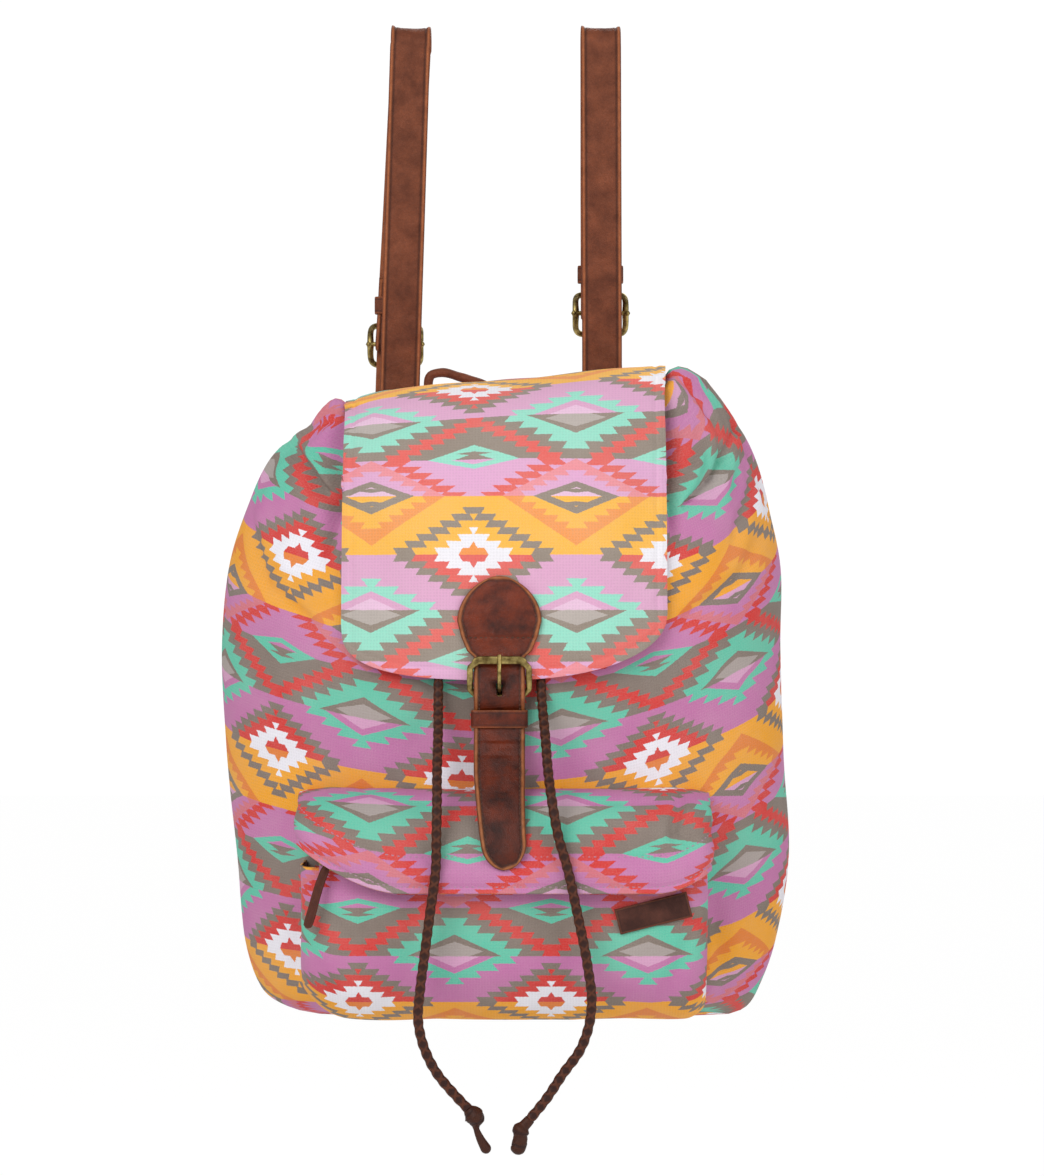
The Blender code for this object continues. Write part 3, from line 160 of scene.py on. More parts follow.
# Knots: points down from the cord's end, then how thick the knot is at distances along them
KNOTS = {
    "left": (((-0.0205, -0.2035, -0.6530), (-0.0168, -0.2035, -0.6575), (-0.0156, -0.2035, -0.6650),
              (-0.0132, -0.2035, -0.6705), (-0.0094, -0.2035, -0.6775), (-0.0089, -0.2035, -0.6785)),
             (0.0, 0.0022, 0.0052, 0.0088, 0.0115, 0.0132, 0.0185, 0.0255, 0.0275),
             (0.0030, 0.0046, 0.0060, 0.0050, 0.0022, 0.0017, 0.0023, 0.0031, 0.0028)),
    "right": (((0.0150, -0.2035, -0.6590), (0.0100, -0.2035, -0.6655), (0.0092, -0.2035, -0.6720),
               (0.0074, -0.2035, -0.6780), (0.0070, -0.2035, -0.6792)),
              (0.0, 0.0050, 0.0070, 0.0094, 0.0112, 0.0150, 0.0190, 0.0225, 0.0250),
              (0.0030, 0.0033, 0.0049, 0.0050, 0.0040, 0.0045, 0.0043, 0.0033, 0.0026)),
}


def smooth_path(points, spacing):
    """Points on a smooth curve through chosen points: cubic pieces whose end slopes are the two
    neighbouring chords weighted by each other's length, then read off at an even spacing."""
    pts = np.array(points, float)
    gaps = np.linalg.norm(np.diff(pts, axis=0), axis=1)
    slopes = np.diff(pts, axis=0) / gaps[:, None]
    before, after = gaps[:-1, None], gaps[1:, None]
    inner = (slopes[:-1] * after + slopes[1:] * before) / (before + after)
    tangents = np.vstack([slopes[:1], inner, slopes[-1:]])
    t = np.linspace(0.0, 1.0, 24, endpoint=False)[None, :, None]
    a, b, g = pts[:-1, None], pts[1:, None], gaps[:, None, None]
    fine = ((2 * t ** 3 - 3 * t ** 2 + 1) * a + (t ** 3 - 2 * t ** 2 + t) * g * tangents[:-1, None]
            + (3 * t ** 2 - 2 * t ** 3) * b + (t ** 3 - t ** 2) * g * tangents[1:, None])
    fine = np.vstack([fine.reshape(-1, pts.shape[1]), pts[-1:]])
    along = np.concatenate([[0.0], np.cumsum(np.linalg.norm(np.diff(fine, axis=0), axis=1))])
    wanted = np.linspace(0.0, along[-1], max(3, round(along[-1] / spacing) + 1))
    return np.stack([np.interp(wanted, along, fine[:, k]) for k in range(pts.shape[1])], axis=1)


def distance_along(path):
    """Distance from the start of a path to each of its points."""
    return np.concatenate([[0.0], np.cumsum(np.linalg.norm(np.diff(path, axis=0), axis=1))])


def sweep(path, across, up, reference, closed=False):
    """Profile carried along a path: each point is path + across * side + up * rise, where side is
    direction x reference and rise is side x direction, both of length one."""
    if closed:
        direction = np.roll(path, -1, axis=0) - np.roll(path, 1, axis=0)
    else:
        direction = np.gradient(path, axis=0)
    direction /= np.linalg.norm(direction, axis=1)[:, None]
    side = np.cross(direction, reference)
    side /= np.linalg.norm(side, axis=1)[:, None]
    rise = np.cross(side, direction)
    return path[:, None] + across[..., None] * side[:, None] + up[..., None] * rise[:, None]


def rounded(distance, radius, least=0.0, power=0.5):
    """Height share of a rounded edge at a distance in from it: (1 - (1 - distance / radius)^2)^power."""
    return np.clip(1.0 - (1.0 - np.clip(distance / radius, 0.0, 1.0)) ** 2, least, 1.0) ** power


def capped(path, grid):
    """A swept grid with a row drawn to a point at each end of its path."""
    ends = np.repeat(path[[0, -1]][:, None], grid.shape[1], 1)
    return np.concatenate([ends[:1], grid, ends[1:]])


def add_surface(name, grid, uv=None, close_rows=False, close_columns=False, marks=None, drop=None,
                walls=None):
    """A mesh of quads over a grid of points, with a UV for each grid point where given and named
    numbers kept on its points.  Rows of one point shrink to a pole.  Faces end up pointing outwards
    on a closed form, found by the sign of its volume, the sum of a . (b x c) / 6 over its faces.
    A slot drops the faces marked and adds walls, given by the rows and columns of their corners."""
    rows, columns = grid.shape[:2]
    r = np.arange(rows + close_rows)
    c = np.arange(columns + close_columns)
    index = (r[:, None] % rows) * columns + (c[None, :] % columns)
    corners = [index[:-1, :-1], index[:-1, 1:], index[1:, 1:], index[1:, :-1]]
    quads = np.stack([k.ravel() for k in corners], axis=1)
    if walls is not None:
        quads = np.concatenate([quads[~drop.ravel()], walls[..., 0] * columns + walls[..., 1]])
    verts = grid.reshape(-1, 3)
    p = verts[quads] - verts.mean(axis=0)
    volume = np.einsum("ij,ij->i", p[:, 0], np.cross(p[:, 1], p[:, 2]) + np.cross(p[:, 2], p[:, 3])).sum()
    order = [0, 1, 2, 3] if volume > 0 else [3, 2, 1, 0]
    mesh = bpy.data.meshes.new(name)
    mesh.vertices.add(len(verts))
    mesh.vertices.foreach_set("co", verts.astype(np.float32).ravel())
    mesh.loops.add(quads.size)
    mesh.loops.foreach_set("vertex_index", quads[:, order].astype(np.int32).ravel())
    mesh.polygons.add(len(quads))
    mesh.polygons.foreach_set("loop_start", np.arange(0, quads.size, 4, dtype=np.int32))
    mesh.update(calc_edges=True)
    mesh.polygons.foreach_set("use_smooth", np.ones(len(quads), bool))
    if uv is not None:
        wide = np.arange(uv.shape[0] * uv.shape[1]).reshape(uv.shape[:2])
        places = [wide[:-1, :-1], wide[:-1, 1:], wide[1:, 1:], wide[1:, :-1]]
        places = np.stack([k.ravel() for k in places], axis=1)[:, order]
        layer = mesh.uv_layers.new(name="cloth")
        layer.data.foreach_set("uv", uv.reshape(-1, 2)[places.ravel()].astype(np.float32).ravel())
    for label, values in (marks or {}).items():
        mark = mesh.attributes.new(label, "FLOAT", "POINT")
        mark.data.foreach_set("value", np.broadcast_to(values, (rows, columns)).astype(np.float32).ravel())
    work = bmesh.new()
    work.from_mesh(mesh)
    bmesh.ops.remove_doubles(work, verts=work.verts, dist=0.000002)
    bmesh.ops.dissolve_degenerate(work, edges=work.edges, dist=0.0000005)
    work.to_mesh(mesh)
    work.free()
    obj = bpy.data.objects.new(name, mesh)
    bpy.context.scene.collection.objects.link(obj)
    return obj


def dress(obj, material, body="bag"):
    """Give a piece its material and its body."""
    obj.data.materials.append(material)
    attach(obj, body)
    return obj


def new_material(name):
    """A material, its node tree, its shader and the Object coordinates that its patterns read."""
    material = bpy.data.materials.new(name)
    material.use_nodes = True
    tree = material.node_tree
    return material, tree, tree.nodes["Principled BSDF"], node(tree, "TexCoord").outputs["Object"]


# Plaited calf lace, dyed through: its colour follows the plait mark, with painted shade dark in its crevices
# and a painted highlight brown on the crowns of its strands, under a random mottle
lace, tree, shader, place = new_material("plaited lace leather, painted crevice shade")
height = node(tree, "Attribute", {"attribute_name": "plait"})
mottle = node(tree, "TexNoise", links={"Vector": place, "Scale": 420.0, "Detail": 4.0})
worn = node(tree, "Math", {"operation": "MULTIPLY_ADD"}, {0: mottle, 1: 0.9, 2: -0.45})
level = node(tree, "Math", {"operation": "ADD"}, {0: height.outputs["Fac"], 1: worn})
# Painted shade and highlight: the ramp runs from near black where the plait mark is low to brown where it is
# high
ramp = node(tree, "ValToRGB", links={"Fac": level})
ramp.color_ramp.elements[0].position = 0.18
ramp.color_ramp.elements[0].color = srgb("#31140C")
ramp.color_ramp.elements[1].position = 0.98
ramp.color_ramp.elements[1].color = srgb("#5A2E1B")
middle = ramp.color_ramp.elements.new(0.62)
middle.color = srgb("#44200F")
tree.links.new(ramp.outputs["Color"], shader.inputs["Base Color"])
grain = node(tree, "TexNoise", links={"Vector": place, "Scale": 2600.0, "Detail": 3.0})
bump = node(tree, "Bump", links={"Height": grain, "Strength": 0.25, "Distance": 0.0003})
tree.links.new(bump.outputs[0], shader.inputs["Normal"])
shader.inputs["Roughness"].default_value = 0.55
shader.inputs["Specular IOR Level"].default_value = 0.28

for side_name, route in CORD_ROUTES.items():
    path = smooth_path(route, 0.0007)
    s = distance_along(path)[:, None]
    turn = np.linspace(0.0, 2 * math.pi, 22, endpoint=False)[None]
    wind = 2 * math.pi * s / (2 * PLAIT_PITCH)
    strand_a = np.cos(2 * turn + wind)
    strand_b = np.cos(2 * turn - wind)
    plait = np.maximum(strand_a, strand_b)
    radius = CORD / 2 * (0.93 + 0.07 * plait)
    grid = sweep(path, radius * np.cos(turn), radius * np.sin(turn), np.array([1.0, 0.0, 0.0]))
    # The plait mark is the strands' height; the lace's ramp paints shade in the crevices and a highlight on
    # the crowns from it
    marks = np.concatenate([plait[:1], plait, plait[-1:]])
    cord = add_surface("drawcord_" + side_name + "_plait", capped(path, grid), close_columns=True,
                       marks={"plait": marks})
    dress(cord, lace)
    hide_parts("drawcord_" + side_name)

    # Thumb knot drawn tight, then its tail: a swept round whose size follows the table, wound round
    # by one groove a turn where it is thick, and domed at its end
    points, places, sizes = KNOTS[side_name]
    line = smooth_path(points, 0.00035)
    s = distance_along(line)
    size = np.interp(s, places, sizes)
    dome = rounded(s[-1] - s, 0.0026, least=0.02)
    wrap = np.cos(turn + 0.7 * np.sin(2 * turn) + 2 * math.pi * s[:, None] / 0.0075)
    thick = np.clip((size - 0.0034) / 0.0012, 0.0, 1.0)[:, None]
    grooves = 1.0 - 2.0 * thick * np.maximum(0.0, wrap) ** 6
    radius = (size * dome)[:, None] * (0.955 + 0.045 * grooves + 0.02 * np.cos(3 * turn + 400.0 * s[:, None]))
    knot_grid = sweep(line, radius * np.cos(turn), radius * np.sin(turn), np.array([0.31, 0.79, 0.53]))
    # The knot's grooves go into the same plait mark, so painted shade darkens them too
    marks = np.concatenate([grooves[:1], 0.5 * grooves, grooves[-1:]])
    knot = add_surface("knot_" + side_name + "_tied", capped(line, knot_grid), close_columns=True,
                       marks={"plait": marks})
    dress(knot, lace)
    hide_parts("knot_" + side_name)

hidden_cord = bpy.data.objects["drawcord_inner"]
hidden_cord.data.materials.clear()
hidden_cord.data.materials.append(lace)


# Bag body
# A tube of stout printed cotton canvas, gathered on the drawcord at its shoulder and seamed at both
# back corners to a flat back panel.  It sags a little: broad low pleats stand out under the gathers.

# Each diamond of the print: its column (a on the tile's middle, b between), the height of its middle
# line, its step or half width across, its row or half height, and how far its teeth lean (None: plain)
PRINT_METRICS = {
    "A steps": ("a", 0.00, 0.0560, 0.0335, 0.36),
    "A eye": ("a", 0.00, 0.0535, 0.0335, -0.36),
    "B steps, mauve": ("b", 0.27, 0.0890, 0.0385, 0.36),
    "B steps, taupe": ("b", 0.27, 0.0705, 0.0395, 0.36),
    "B core, mauve": ("b", 0.27, 0.2100, 0.0920, None),
    "B core, taupe": ("b", 0.27, 0.2450, 0.1120, None),
    "C steps, taupe": ("a", 0.52, 0.0550, 0.0315, 0.30),
    "C steps, pink": ("a", 0.52, 0.0550, 0.0340, 0.80),
    "C core, taupe": ("a", 0.52, 0.2235, 0.0820, None),
    "C core, pink": ("a", 0.52, 0.2235, 0.0500, None),
    "D band, pink": ("b", 0.71, 0.3600, 0.1900, None),
    "D band, yellow": ("b", -0.29, 0.3600, 0.2450, None),
    "D inner, pink": ("b", 0.71, 0.0540, 0.0260, 0.40),
    "D inner, yellow": ("b", -0.29, 0.0540, 0.0320, 0.40),
    "D eye, pink": ("b", 0.71, 0.2100, 0.0760, None),
    "D eye, yellow": ("b", -0.29, 0.2100, 0.0900, None),
    "D strip, pink": ("b", 0.682, 0.0800, 0.0110, None),
    "D strip, yellow": ("b", -0.252, 0.1100, 0.0120, None),
    "C strip, taupe": ("a", 0.486, 0.0900, 0.0110, None),
    "B cloud, taupe": ("b", 0.295, 0.1500, 0.0500, None),
}
# Inks in printing order: the band, the diamond, from what size and up to what size, and the colour
PRINT_LAYERS = (
    ("yellow", "A steps", 0.0, 6.62, "taupe"),
    ("yellow", "A steps", 0.0, 5.00, "yellow"),
    ("yellow", "A steps", 0.0, 3.05, "white"),
    ("yellow", "A eye", 0.0, 1.35, "orange"),
    ("yellow", "D band, yellow", 0.0, 1.0, "orange"),
    ("yellow", "D inner, yellow", 0.0, 4.6, "yellow"),
    ("yellow", "D eye, yellow", 0.0, 1.0, "taupe"),
    ("yellow", "D eye, yellow", 0.0, 0.60, "yellow"),
    ("yellow", "D strip, yellow", 0.0, 1.0, "taupe"),
    ("mauve", "A steps", 0.0, 6.62, "taupe"),
    ("mauve", "A steps", 0.0, 5.00, "red"),
    ("mauve", "A steps", 0.0, 3.05, "white"),
    ("mauve", "A eye", 0.0, 1.35, "red"),
    ("mauve", "B steps, mauve", 0.0, 3.20, "mint"),
    ("mauve", "B core, mauve", 0.0, 1.00, "mauve"),
    ("mauve", "B core, mauve", 0.0, 0.62, "light pink"),
    ("taupe", "B steps, taupe", 0.0, 4.60, "mint"),
    ("taupe", "B core, taupe", 0.0, 1.00, "taupe"),
    ("taupe", "B cloud, taupe", 0.0, 1.00, "light grey"),
    ("taupe", "C steps, taupe", 5.6, 7.60, "red"),
    ("taupe", "C core, taupe", 0.0, 1.00, "mint"),
    ("taupe", "C core, taupe", 0.0, 0.42, "taupe"),
    ("taupe", "C strip, taupe", 0.0, 1.00, "taupe"),
    ("pink", "C steps, pink", 5.6, 7.60, "red"),
    ("pink", "C core, pink", 0.0, 1.00, "mint"),
    ("pink", "C core, pink", 0.0, 0.50, "pink"),
    ("pink", "D band, pink", 0.0, 1.0, "salmon"),
    ("pink", "D inner, pink", 0.0, 4.6, "pink"),
    ("pink", "D eye, pink", 0.0, 1.0, "taupe"),
    ("pink", "D eye, pink", 0.0, 0.60, "light pink"),
    ("pink", "D strip, pink", 0.0, 1.0, "taupe"),
)
# Bands up the tile and the height at which each one ends
PRINT_BANDS = (("yellow", 0.0), ("mauve", 0.27), ("taupe", 0.52), ("pink", 0.71))
BODY_INKS = {"yellow": "#F3A51E", "mauve": "#C272A8", "taupe": "#7F7168", "pink": "#C577AC",
             "orange": "#E67F24", "red": "#D52F2C", "white": "#EFEDF6", "mint": "#5CC4A8",
             "light pink": "#D59CC2", "salmon": "#D4707F", "light grey": "#A69B97"}
# The flap's inks are the body's inks painted paler: a painted highlight, as the flap's side faces the light
# more
FLAP_INKS_PAINTED_PALER = {"yellow": "#FFBC42", "mauve": "#E0A8CC", "taupe": "#94877B", "pink": "#E3AAD2",
             "orange": "#F79A4B", "red": "#E8635C", "white": "#F3F1F8", "mint": "#97E2CC",
             "light pink": "#EBC3DF", "salmon": "#EE929C", "light grey": "#B8AEA8"}


def print_canvas(name, inks):
    """Plain-weave cotton with a screen-printed pattern of stepped diamonds on four bands.  UVs count
    pattern tiles.  A stepped diamond is where |across| / step + n - tooth * f < size, n and f being the
    whole and broken number of rows away from its middle line; a plain one where the shares of its half
    width and height add up to less than one."""
    cloth, tree, shader, place = new_material(name)
    chart = node(tree, "UVMap", {"uv_map": "cloth"})
    smear = node(tree, "TexNoise", {"noise_dimensions": "2D"},
                 {"Vector": chart, "Scale": 110.0, "Detail": 3.0, "Roughness": 0.7})
    shift = node(tree, "VectorMath", {"operation": "MULTIPLY_ADD"},
                 {0: smear.outputs["Color"], 1: (0.013, 0.009, 0.0), 2: chart})
    tile = node(tree, "SeparateXYZ", links={0: shift})
    value = {"u": tile.outputs["X"], "v": tile.outputs["Y"]}
    steps = [("half u", "ADD", "u", 0.5), ("turn", "FRACT", "half u"), ("off", "SUBTRACT", "turn", 0.5),
             ("a", "ABSOLUTE", "off"), ("b", "SUBTRACT", 0.5, "a"), ("raised", "ADD", "v", 0.29),
             ("band", "FRACT", "raised"), ("w", "SUBTRACT", "band", 0.29)]
    for label, (column, line, across, row, tooth) in PRINT_METRICS.items():
        steps += [(label + " d", "SUBTRACT", "w", line), (label + " r", "ABSOLUTE", label + " d"),
                  (label + " q", "DIVIDE", label + " r", row), (label + " x", "DIVIDE", column, across)]
        if tooth is None:
            steps += [(label, "ADD", label + " q", label + " x")]
        else:
            steps += [(label + " n", "FLOOR", label + " q"), (label + " f", "FRACT", label + " q"),
                      (label + " t", "MULTIPLY", label + " f", -tooth),
                      (label + " s", "ADD", label + " n", label + " t"),
                      (label, "ADD", label + " s", label + " x")]
    for result, operation, *given in steps:
        links = {i: value[g] if isinstance(g, str) else g for i, g in enumerate(given)}
        value[result] = node(tree, "Math", {"operation": operation}, links).outputs[0]
    colour = None
    for band, edge in PRINT_BANDS[::-1]:
        ink = None
        for owner, label, least, size, tint in PRINT_LAYERS:
            if owner != band:
                continue
            inside = node(tree, "Math", {"operation": "LESS_THAN"}, {0: value[label], 1: size})
            if least:
                past = node(tree, "Math", {"operation": "GREATER_THAN"}, {0: value[label], 1: least})
                inside = node(tree, "Math", {"operation": "MULTIPLY"}, {0: inside, 1: past})
            ink = node(tree, "Mix", {"data_type": "RGBA"},
                       {0: inside, 6: ink or srgb(inks[band]), 7: srgb(inks[tint])}).outputs[2]
        if colour is None:
            colour = ink
        else:
            here = node(tree, "Math", {"operation": "LESS_THAN"}, {0: value["w"], 1: edge})
            colour = node(tree, "Mix", {"data_type": "RGBA"}, {0: here, 6: colour, 7: ink}).outputs[2]

    # Worn ink: it thins on the crests of the yarn and in soft cloudy patches
    cloud = node(tree, "TexNoise", links={"Vector": place, "Scale": 34.0, "Detail": 4.0, "Roughness": 0.6})
    fleck = node(tree, "TexNoise", {"noise_dimensions": "2D"},
                 {"Vector": chart, "Scale": 210.0, "Detail": 4.0, "Roughness": 0.75})
    patch = node(tree, "MapRange", links={"Value": cloud, "From Min": 0.35,
                                          "From Max": 0.75, "To Min": 0.0, "To Max": 0.10})
    spot = node(tree, "MapRange", links={"Value": fleck, "From Min": 0.45,
                                         "From Max": 0.72, "To Min": 0.0, "To Max": 0.26})
    wear = node(tree, "Math", {"operation": "ADD"}, {0: patch, 1: spot})
    faded = node(tree, "Mix", {"data_type": "RGBA"}, {0: wear, 6: colour, 7: srgb("#D8CFC8")}).outputs[2]
    # The real yarns lie 0.5 mm apart; they are drawn 1.8 mm apart so that they show at this size
    waves = []
    for direction in ("X", "Y"):
        wave = node(tree, "TexWave", {"bands_direction": direction},
                    {"Vector": chart, "Scale": 20.5, "Distortion": 3.2, "Detail": 3.0, "Detail Scale": 5.0})
        waves.append(wave.outputs["Fac"])
    weave = node(tree, "Math", {"operation": "MAXIMUM"}, {0: waves[0], 1: waves[1]})
    # Painted shade and highlight: the weave's height also scales the colour, from 0.955 between the yarns to
    # 1.03 on their crests
    low = node(tree, "MapRange", links={"Value": weave, "From Min": 0.35, "From Max": 1.0,
                                        "To Min": 0.955, "To Max": 1.03})
    shaded = node(tree, "VectorMath", {"operation": "SCALE"}, {0: faded, "Scale": low})
    tree.links.new(shaded.outputs[0], shader.inputs["Base Color"])
    bump = node(tree, "Bump", links={"Height": weave, "Strength": 0.22, "Distance": 0.0004})
    tree.links.new(bump.outputs[0], shader.inputs["Normal"])
    shader.inputs["Roughness"].default_value = 0.88
    shader.inputs["Specular IOR Level"].default_value = 0.14
    shader.inputs["Sheen Weight"].default_value = 0.05
    shader.inputs["Sheen Roughness"].default_value = 0.5
    return cloth


canvas = print_canvas("printed cotton canvas", BODY_INKS)

BAG_WIDTH = 0.346
BAG_DEPTH = 0.158
BACK_DEPTH = 0.062
SHOULDER_Z = -0.227
BASE_Z = -0.619
HEM_Z = BASE_Z + 0.0023
SEAM_ANGLE = 52.5
CANVAS = 0.0014
BODY_TILE = (0.115, 0.109)
FRONT_LINE_Z = -0.4677
MOUTH_WIDTH = 0.100
MOUTH_DEPTH = 0.062
MOUTH_DROP = 0.0155
CASING_RADIUS = 0.0065
FRONT_ROUNDNESS = 2.3
BACK_ROUNDNESS = 3.2
# Stations up the bag: share of its height, then left half width, right half width and front depth
BODY_STATIONS = np.array((
    (0.000, 0.66, 0.80, 0.76), (0.012, 0.77, 0.86, 0.82), (0.045, 0.87, 0.905, 0.895),
    (0.120, 0.925, 0.965, 0.955), (0.240, 0.950, 1.010, 0.985), (0.420, 0.991, 0.992, 1.000),
    (0.580, 1.009, 0.980, 0.985), (0.700, 0.985, 0.984, 0.953), (0.800, 0.920, 0.938, 0.890),
    (0.880, 0.840, 0.885, 0.800), (0.940, 0.710, 0.810, 0.710), (0.975, 0.580, 0.700, 0.650)))
FINE_STATIONS = smooth_path(BODY_STATIONS, 0.01)


def body_station(share):
    """Left and right half widths and front depth at shares of the bag's height, read off a curve."""
    left, right, front = (np.interp(share, FINE_STATIONS[:, 0], FINE_STATIONS[:, k]) for k in (1, 2, 3))
    return left * BAG_WIDTH / 2, right * BAG_WIDTH / 2, front * BAG_DEPTH - BACK_DEPTH


def squared_off(wave, power):
    """A sine or cosine raised to a power that keeps its sign, which squares a circle off or rounds it."""
    return np.sign(wave) * np.abs(wave) ** power


def plan_section(angles, left, right, front, back):
    """Rounded plan of the bag: |x / half width|^p + |y / depth|^p = 1, with p 2.3 in front, 3.2 behind."""
    c = np.cos(angles)
    s = np.sin(angles)
    power = np.where(s > 0, BACK_ROUNDNESS, FRONT_ROUNDNESS)
    x = np.where(c > 0, right, left) * squared_off(c, 2 / power)
    y = -BACK_DEPTH + np.where(s > 0, back, front) * squared_off(s, 2 / power)
    return x, y


def skin_y(x, z, side):
    """How far out the body's front (side -1) or back (side 1) lies at points seen from there."""
    left, right, front = body_station((z - HEM_Z) / (SHOULDER_Z - HEM_Z))
    half = np.where(x > 0, right, left)
    depth, power = (front, FRONT_ROUNDNESS) if side < 0 else (BACK_DEPTH, BACK_ROUNDNESS)
    inside = np.maximum(0.0, 1.0 - (np.abs(x) / half) ** power)
    return -BACK_DEPTH + side * depth * inside ** (1.0 / power)


def bell(x, middle, width):
    """Smooth hump of height one: exp of minus the squared distance from its middle in widths."""
    return np.exp(-((x - middle) / width) ** 2)


def lines(x, z, table):
    """Sum of soft creases.  Each runs from (x0, z0) to (x1, z1) and has a width and a depth: depth
    times the bell of the distance to that line, faded out past its two ends."""
    total = np.zeros(np.broadcast(x, z).shape)
    for x0, z0, x1, z1, width, depth in table:
        run = np.array([x1 - x0, z1 - z0])
        length = math.hypot(*run)
        run /= length
        along = (x - x0) * run[0] + (z - z0) * run[1]
        beside = (x - x0) * -run[1] + (z - z0) * run[0]
        fade = 1 / (1 + np.exp(-(along / (0.08 * length)))) / (1 + np.exp((along - length) / (0.08 * length)))
        total += depth * np.exp(-(beside / width) ** 2) * fade
    return total


# Creases seen from the front (mm): the folds under the gathers, beside the flap, and the sag above
# the pocket.  Minus is a valley and plus a ridge.
FRONT_CREASES = np.array((
    (-99, -236, -106, -330, 3.4, -7.5), (-126, -255, -100, -253, 2.4, -4.6),
    (-110, -243, -118, -246, 5.0, 2.5), (-134, -263, -118, -286, 2.8, -6.0),
    (-119, -285, -101, -310, 3.4, -6.5), (-126, -259, -102, -294, 4.0, 3.0),
    (-134, -276, -150, -318, 7.0, 3.4), (-116, -300, -132, -340, 6.0, 2.4),
    (-153, -310, -144, -352, 3.2, -3.8), (-145, -351, -112, -377, 3.6, -4.0),
    (-138, -334, -100, -360, 6.0, 2.2), (-155, -384, -108, -412, 9.0, -2.0),
    (99, -222, 102, -318, 3.4, -8.5), (117, -229, 103, -271, 2.5, -4.0), (112, -234, 108, -262, 5.0, 3.0),
    (126, -228, 128, -262, 5.5, 3.4), (134, -236, 143, -257, 2.3, -4.6), (143, -255, 133, -277, 2.3, -5.6),
    (133, -274, 127, -290, 2.3, -6.4), (129, -287, 108, -306, 2.6, -6.4), (141, -264, 133, -296, 4.0, 3.2),
    (118, -272, 110, -292, 4.0, 2.8), (147, -268, 153, -294, 3.0, -3.0), (153, -290, 138, -324, 3.4, -3.4),
    (161, -312, 141, -349, 4.0, -3.6), (142, -347, 106, -374, 4.4, -3.8), (128, -318, 112, -350, 8.0, 2.4),
    (118, -392, 166, -418, 8.0, -2.0), (-165, -470, -118, -452, 9.0, -1.6),
    (122, -458, 168, -478, 9.0, -1.8), (-160, -560, -124, -520, 8.0, -1.6),
    (128, -520, 166, -566, 8.0, -1.8), (-128, -606, -122, -540, 5.0, -2.0),
    (126, -540, 132, -604, 5.0, -2.2), (-88, -440, -30, -456, 10.0, -1.2),
    (34, -452, 96, -436, 9.0, -1.3))) / 1000.0
BODY_GATHERS = 17


def body_push(x, z):
    """How far the creases and a slow roll of the cloth move the body's front out."""
    broad = 0.0016 * np.sin(x * 46.0 + z * 31.0) + 0.0011 * np.sin(x * 83.0 - z * 57.0 + 1.7)
    return (1.35 * lines(x, z, FRONT_CREASES) + 0.7 * broad) * np.clip((SHOULDER_Z - z) / 0.03, 0.0, 1.0)


def body_front_y(x, z):
    """The body's creased front: its plain skin moved along its normal, seen from the front."""
    y = skin_y(x, z, -1)
    run = np.stack([0.75 * x, y + BACK_DEPTH])
    lean = np.maximum(0.35, -run[1] / np.linalg.norm(run, axis=0))
    return y - body_push(x, z) * lean ** 0.7 / lean


def body_rows(angles, shares, tucks):
    """Rows of points round the body from its foot up.  Above 0.74 of the height the cloth draws in to
    the gathers: the plan is scaled by 1 + fold * depth, fold being a sum of three cosines of the
    angle whose crests sharpen towards the top."""
    rows = np.asarray(shares)[:, None]
    angles = angles[None]
    left, right, front = (k[:, None] for k in body_station(rows[:, 0]))
    x, y = plan_section(angles, left, right, front, BACK_DEPTH)
    rise = np.clip((rows - 0.74) / 0.235, 0.0, 1.0)
    fold = (0.55 * np.cos(BODY_GATHERS * angles + 1.1 * np.sin(3 * angles))
            + 0.30 * np.cos(29 * angles + 2.0 * np.sin(2 * angles + 0.5) + 1.0)
            + 0.22 * np.cos(9 * angles + 0.6))
    fold = squared_off(fold, 0.8)
    deep = tucks * rise ** 1.4
    x = x * (1.0 + fold * deep)
    y = -BACK_DEPTH + (y + BACK_DEPTH) * np.where(np.sin(angles) > 0, 1.0, 1.0 + fold * deep)
    puff = np.maximum(0.0, (rows - 0.80) / 0.175)
    ahead = np.maximum(0.0, -np.sin(angles)) ** 2
    foot = np.clip(1.0 - rows / 0.07, 0.0, 1.0) ** 1.5
    z = HEM_Z + rows * (SHOULDER_Z - HEM_Z) + puff ** 2 * (0.008 * x / left - 0.016 * ahead)
    return np.stack([x, y, z + 0.0115 * foot * ahead ** 0.6], axis=-1)


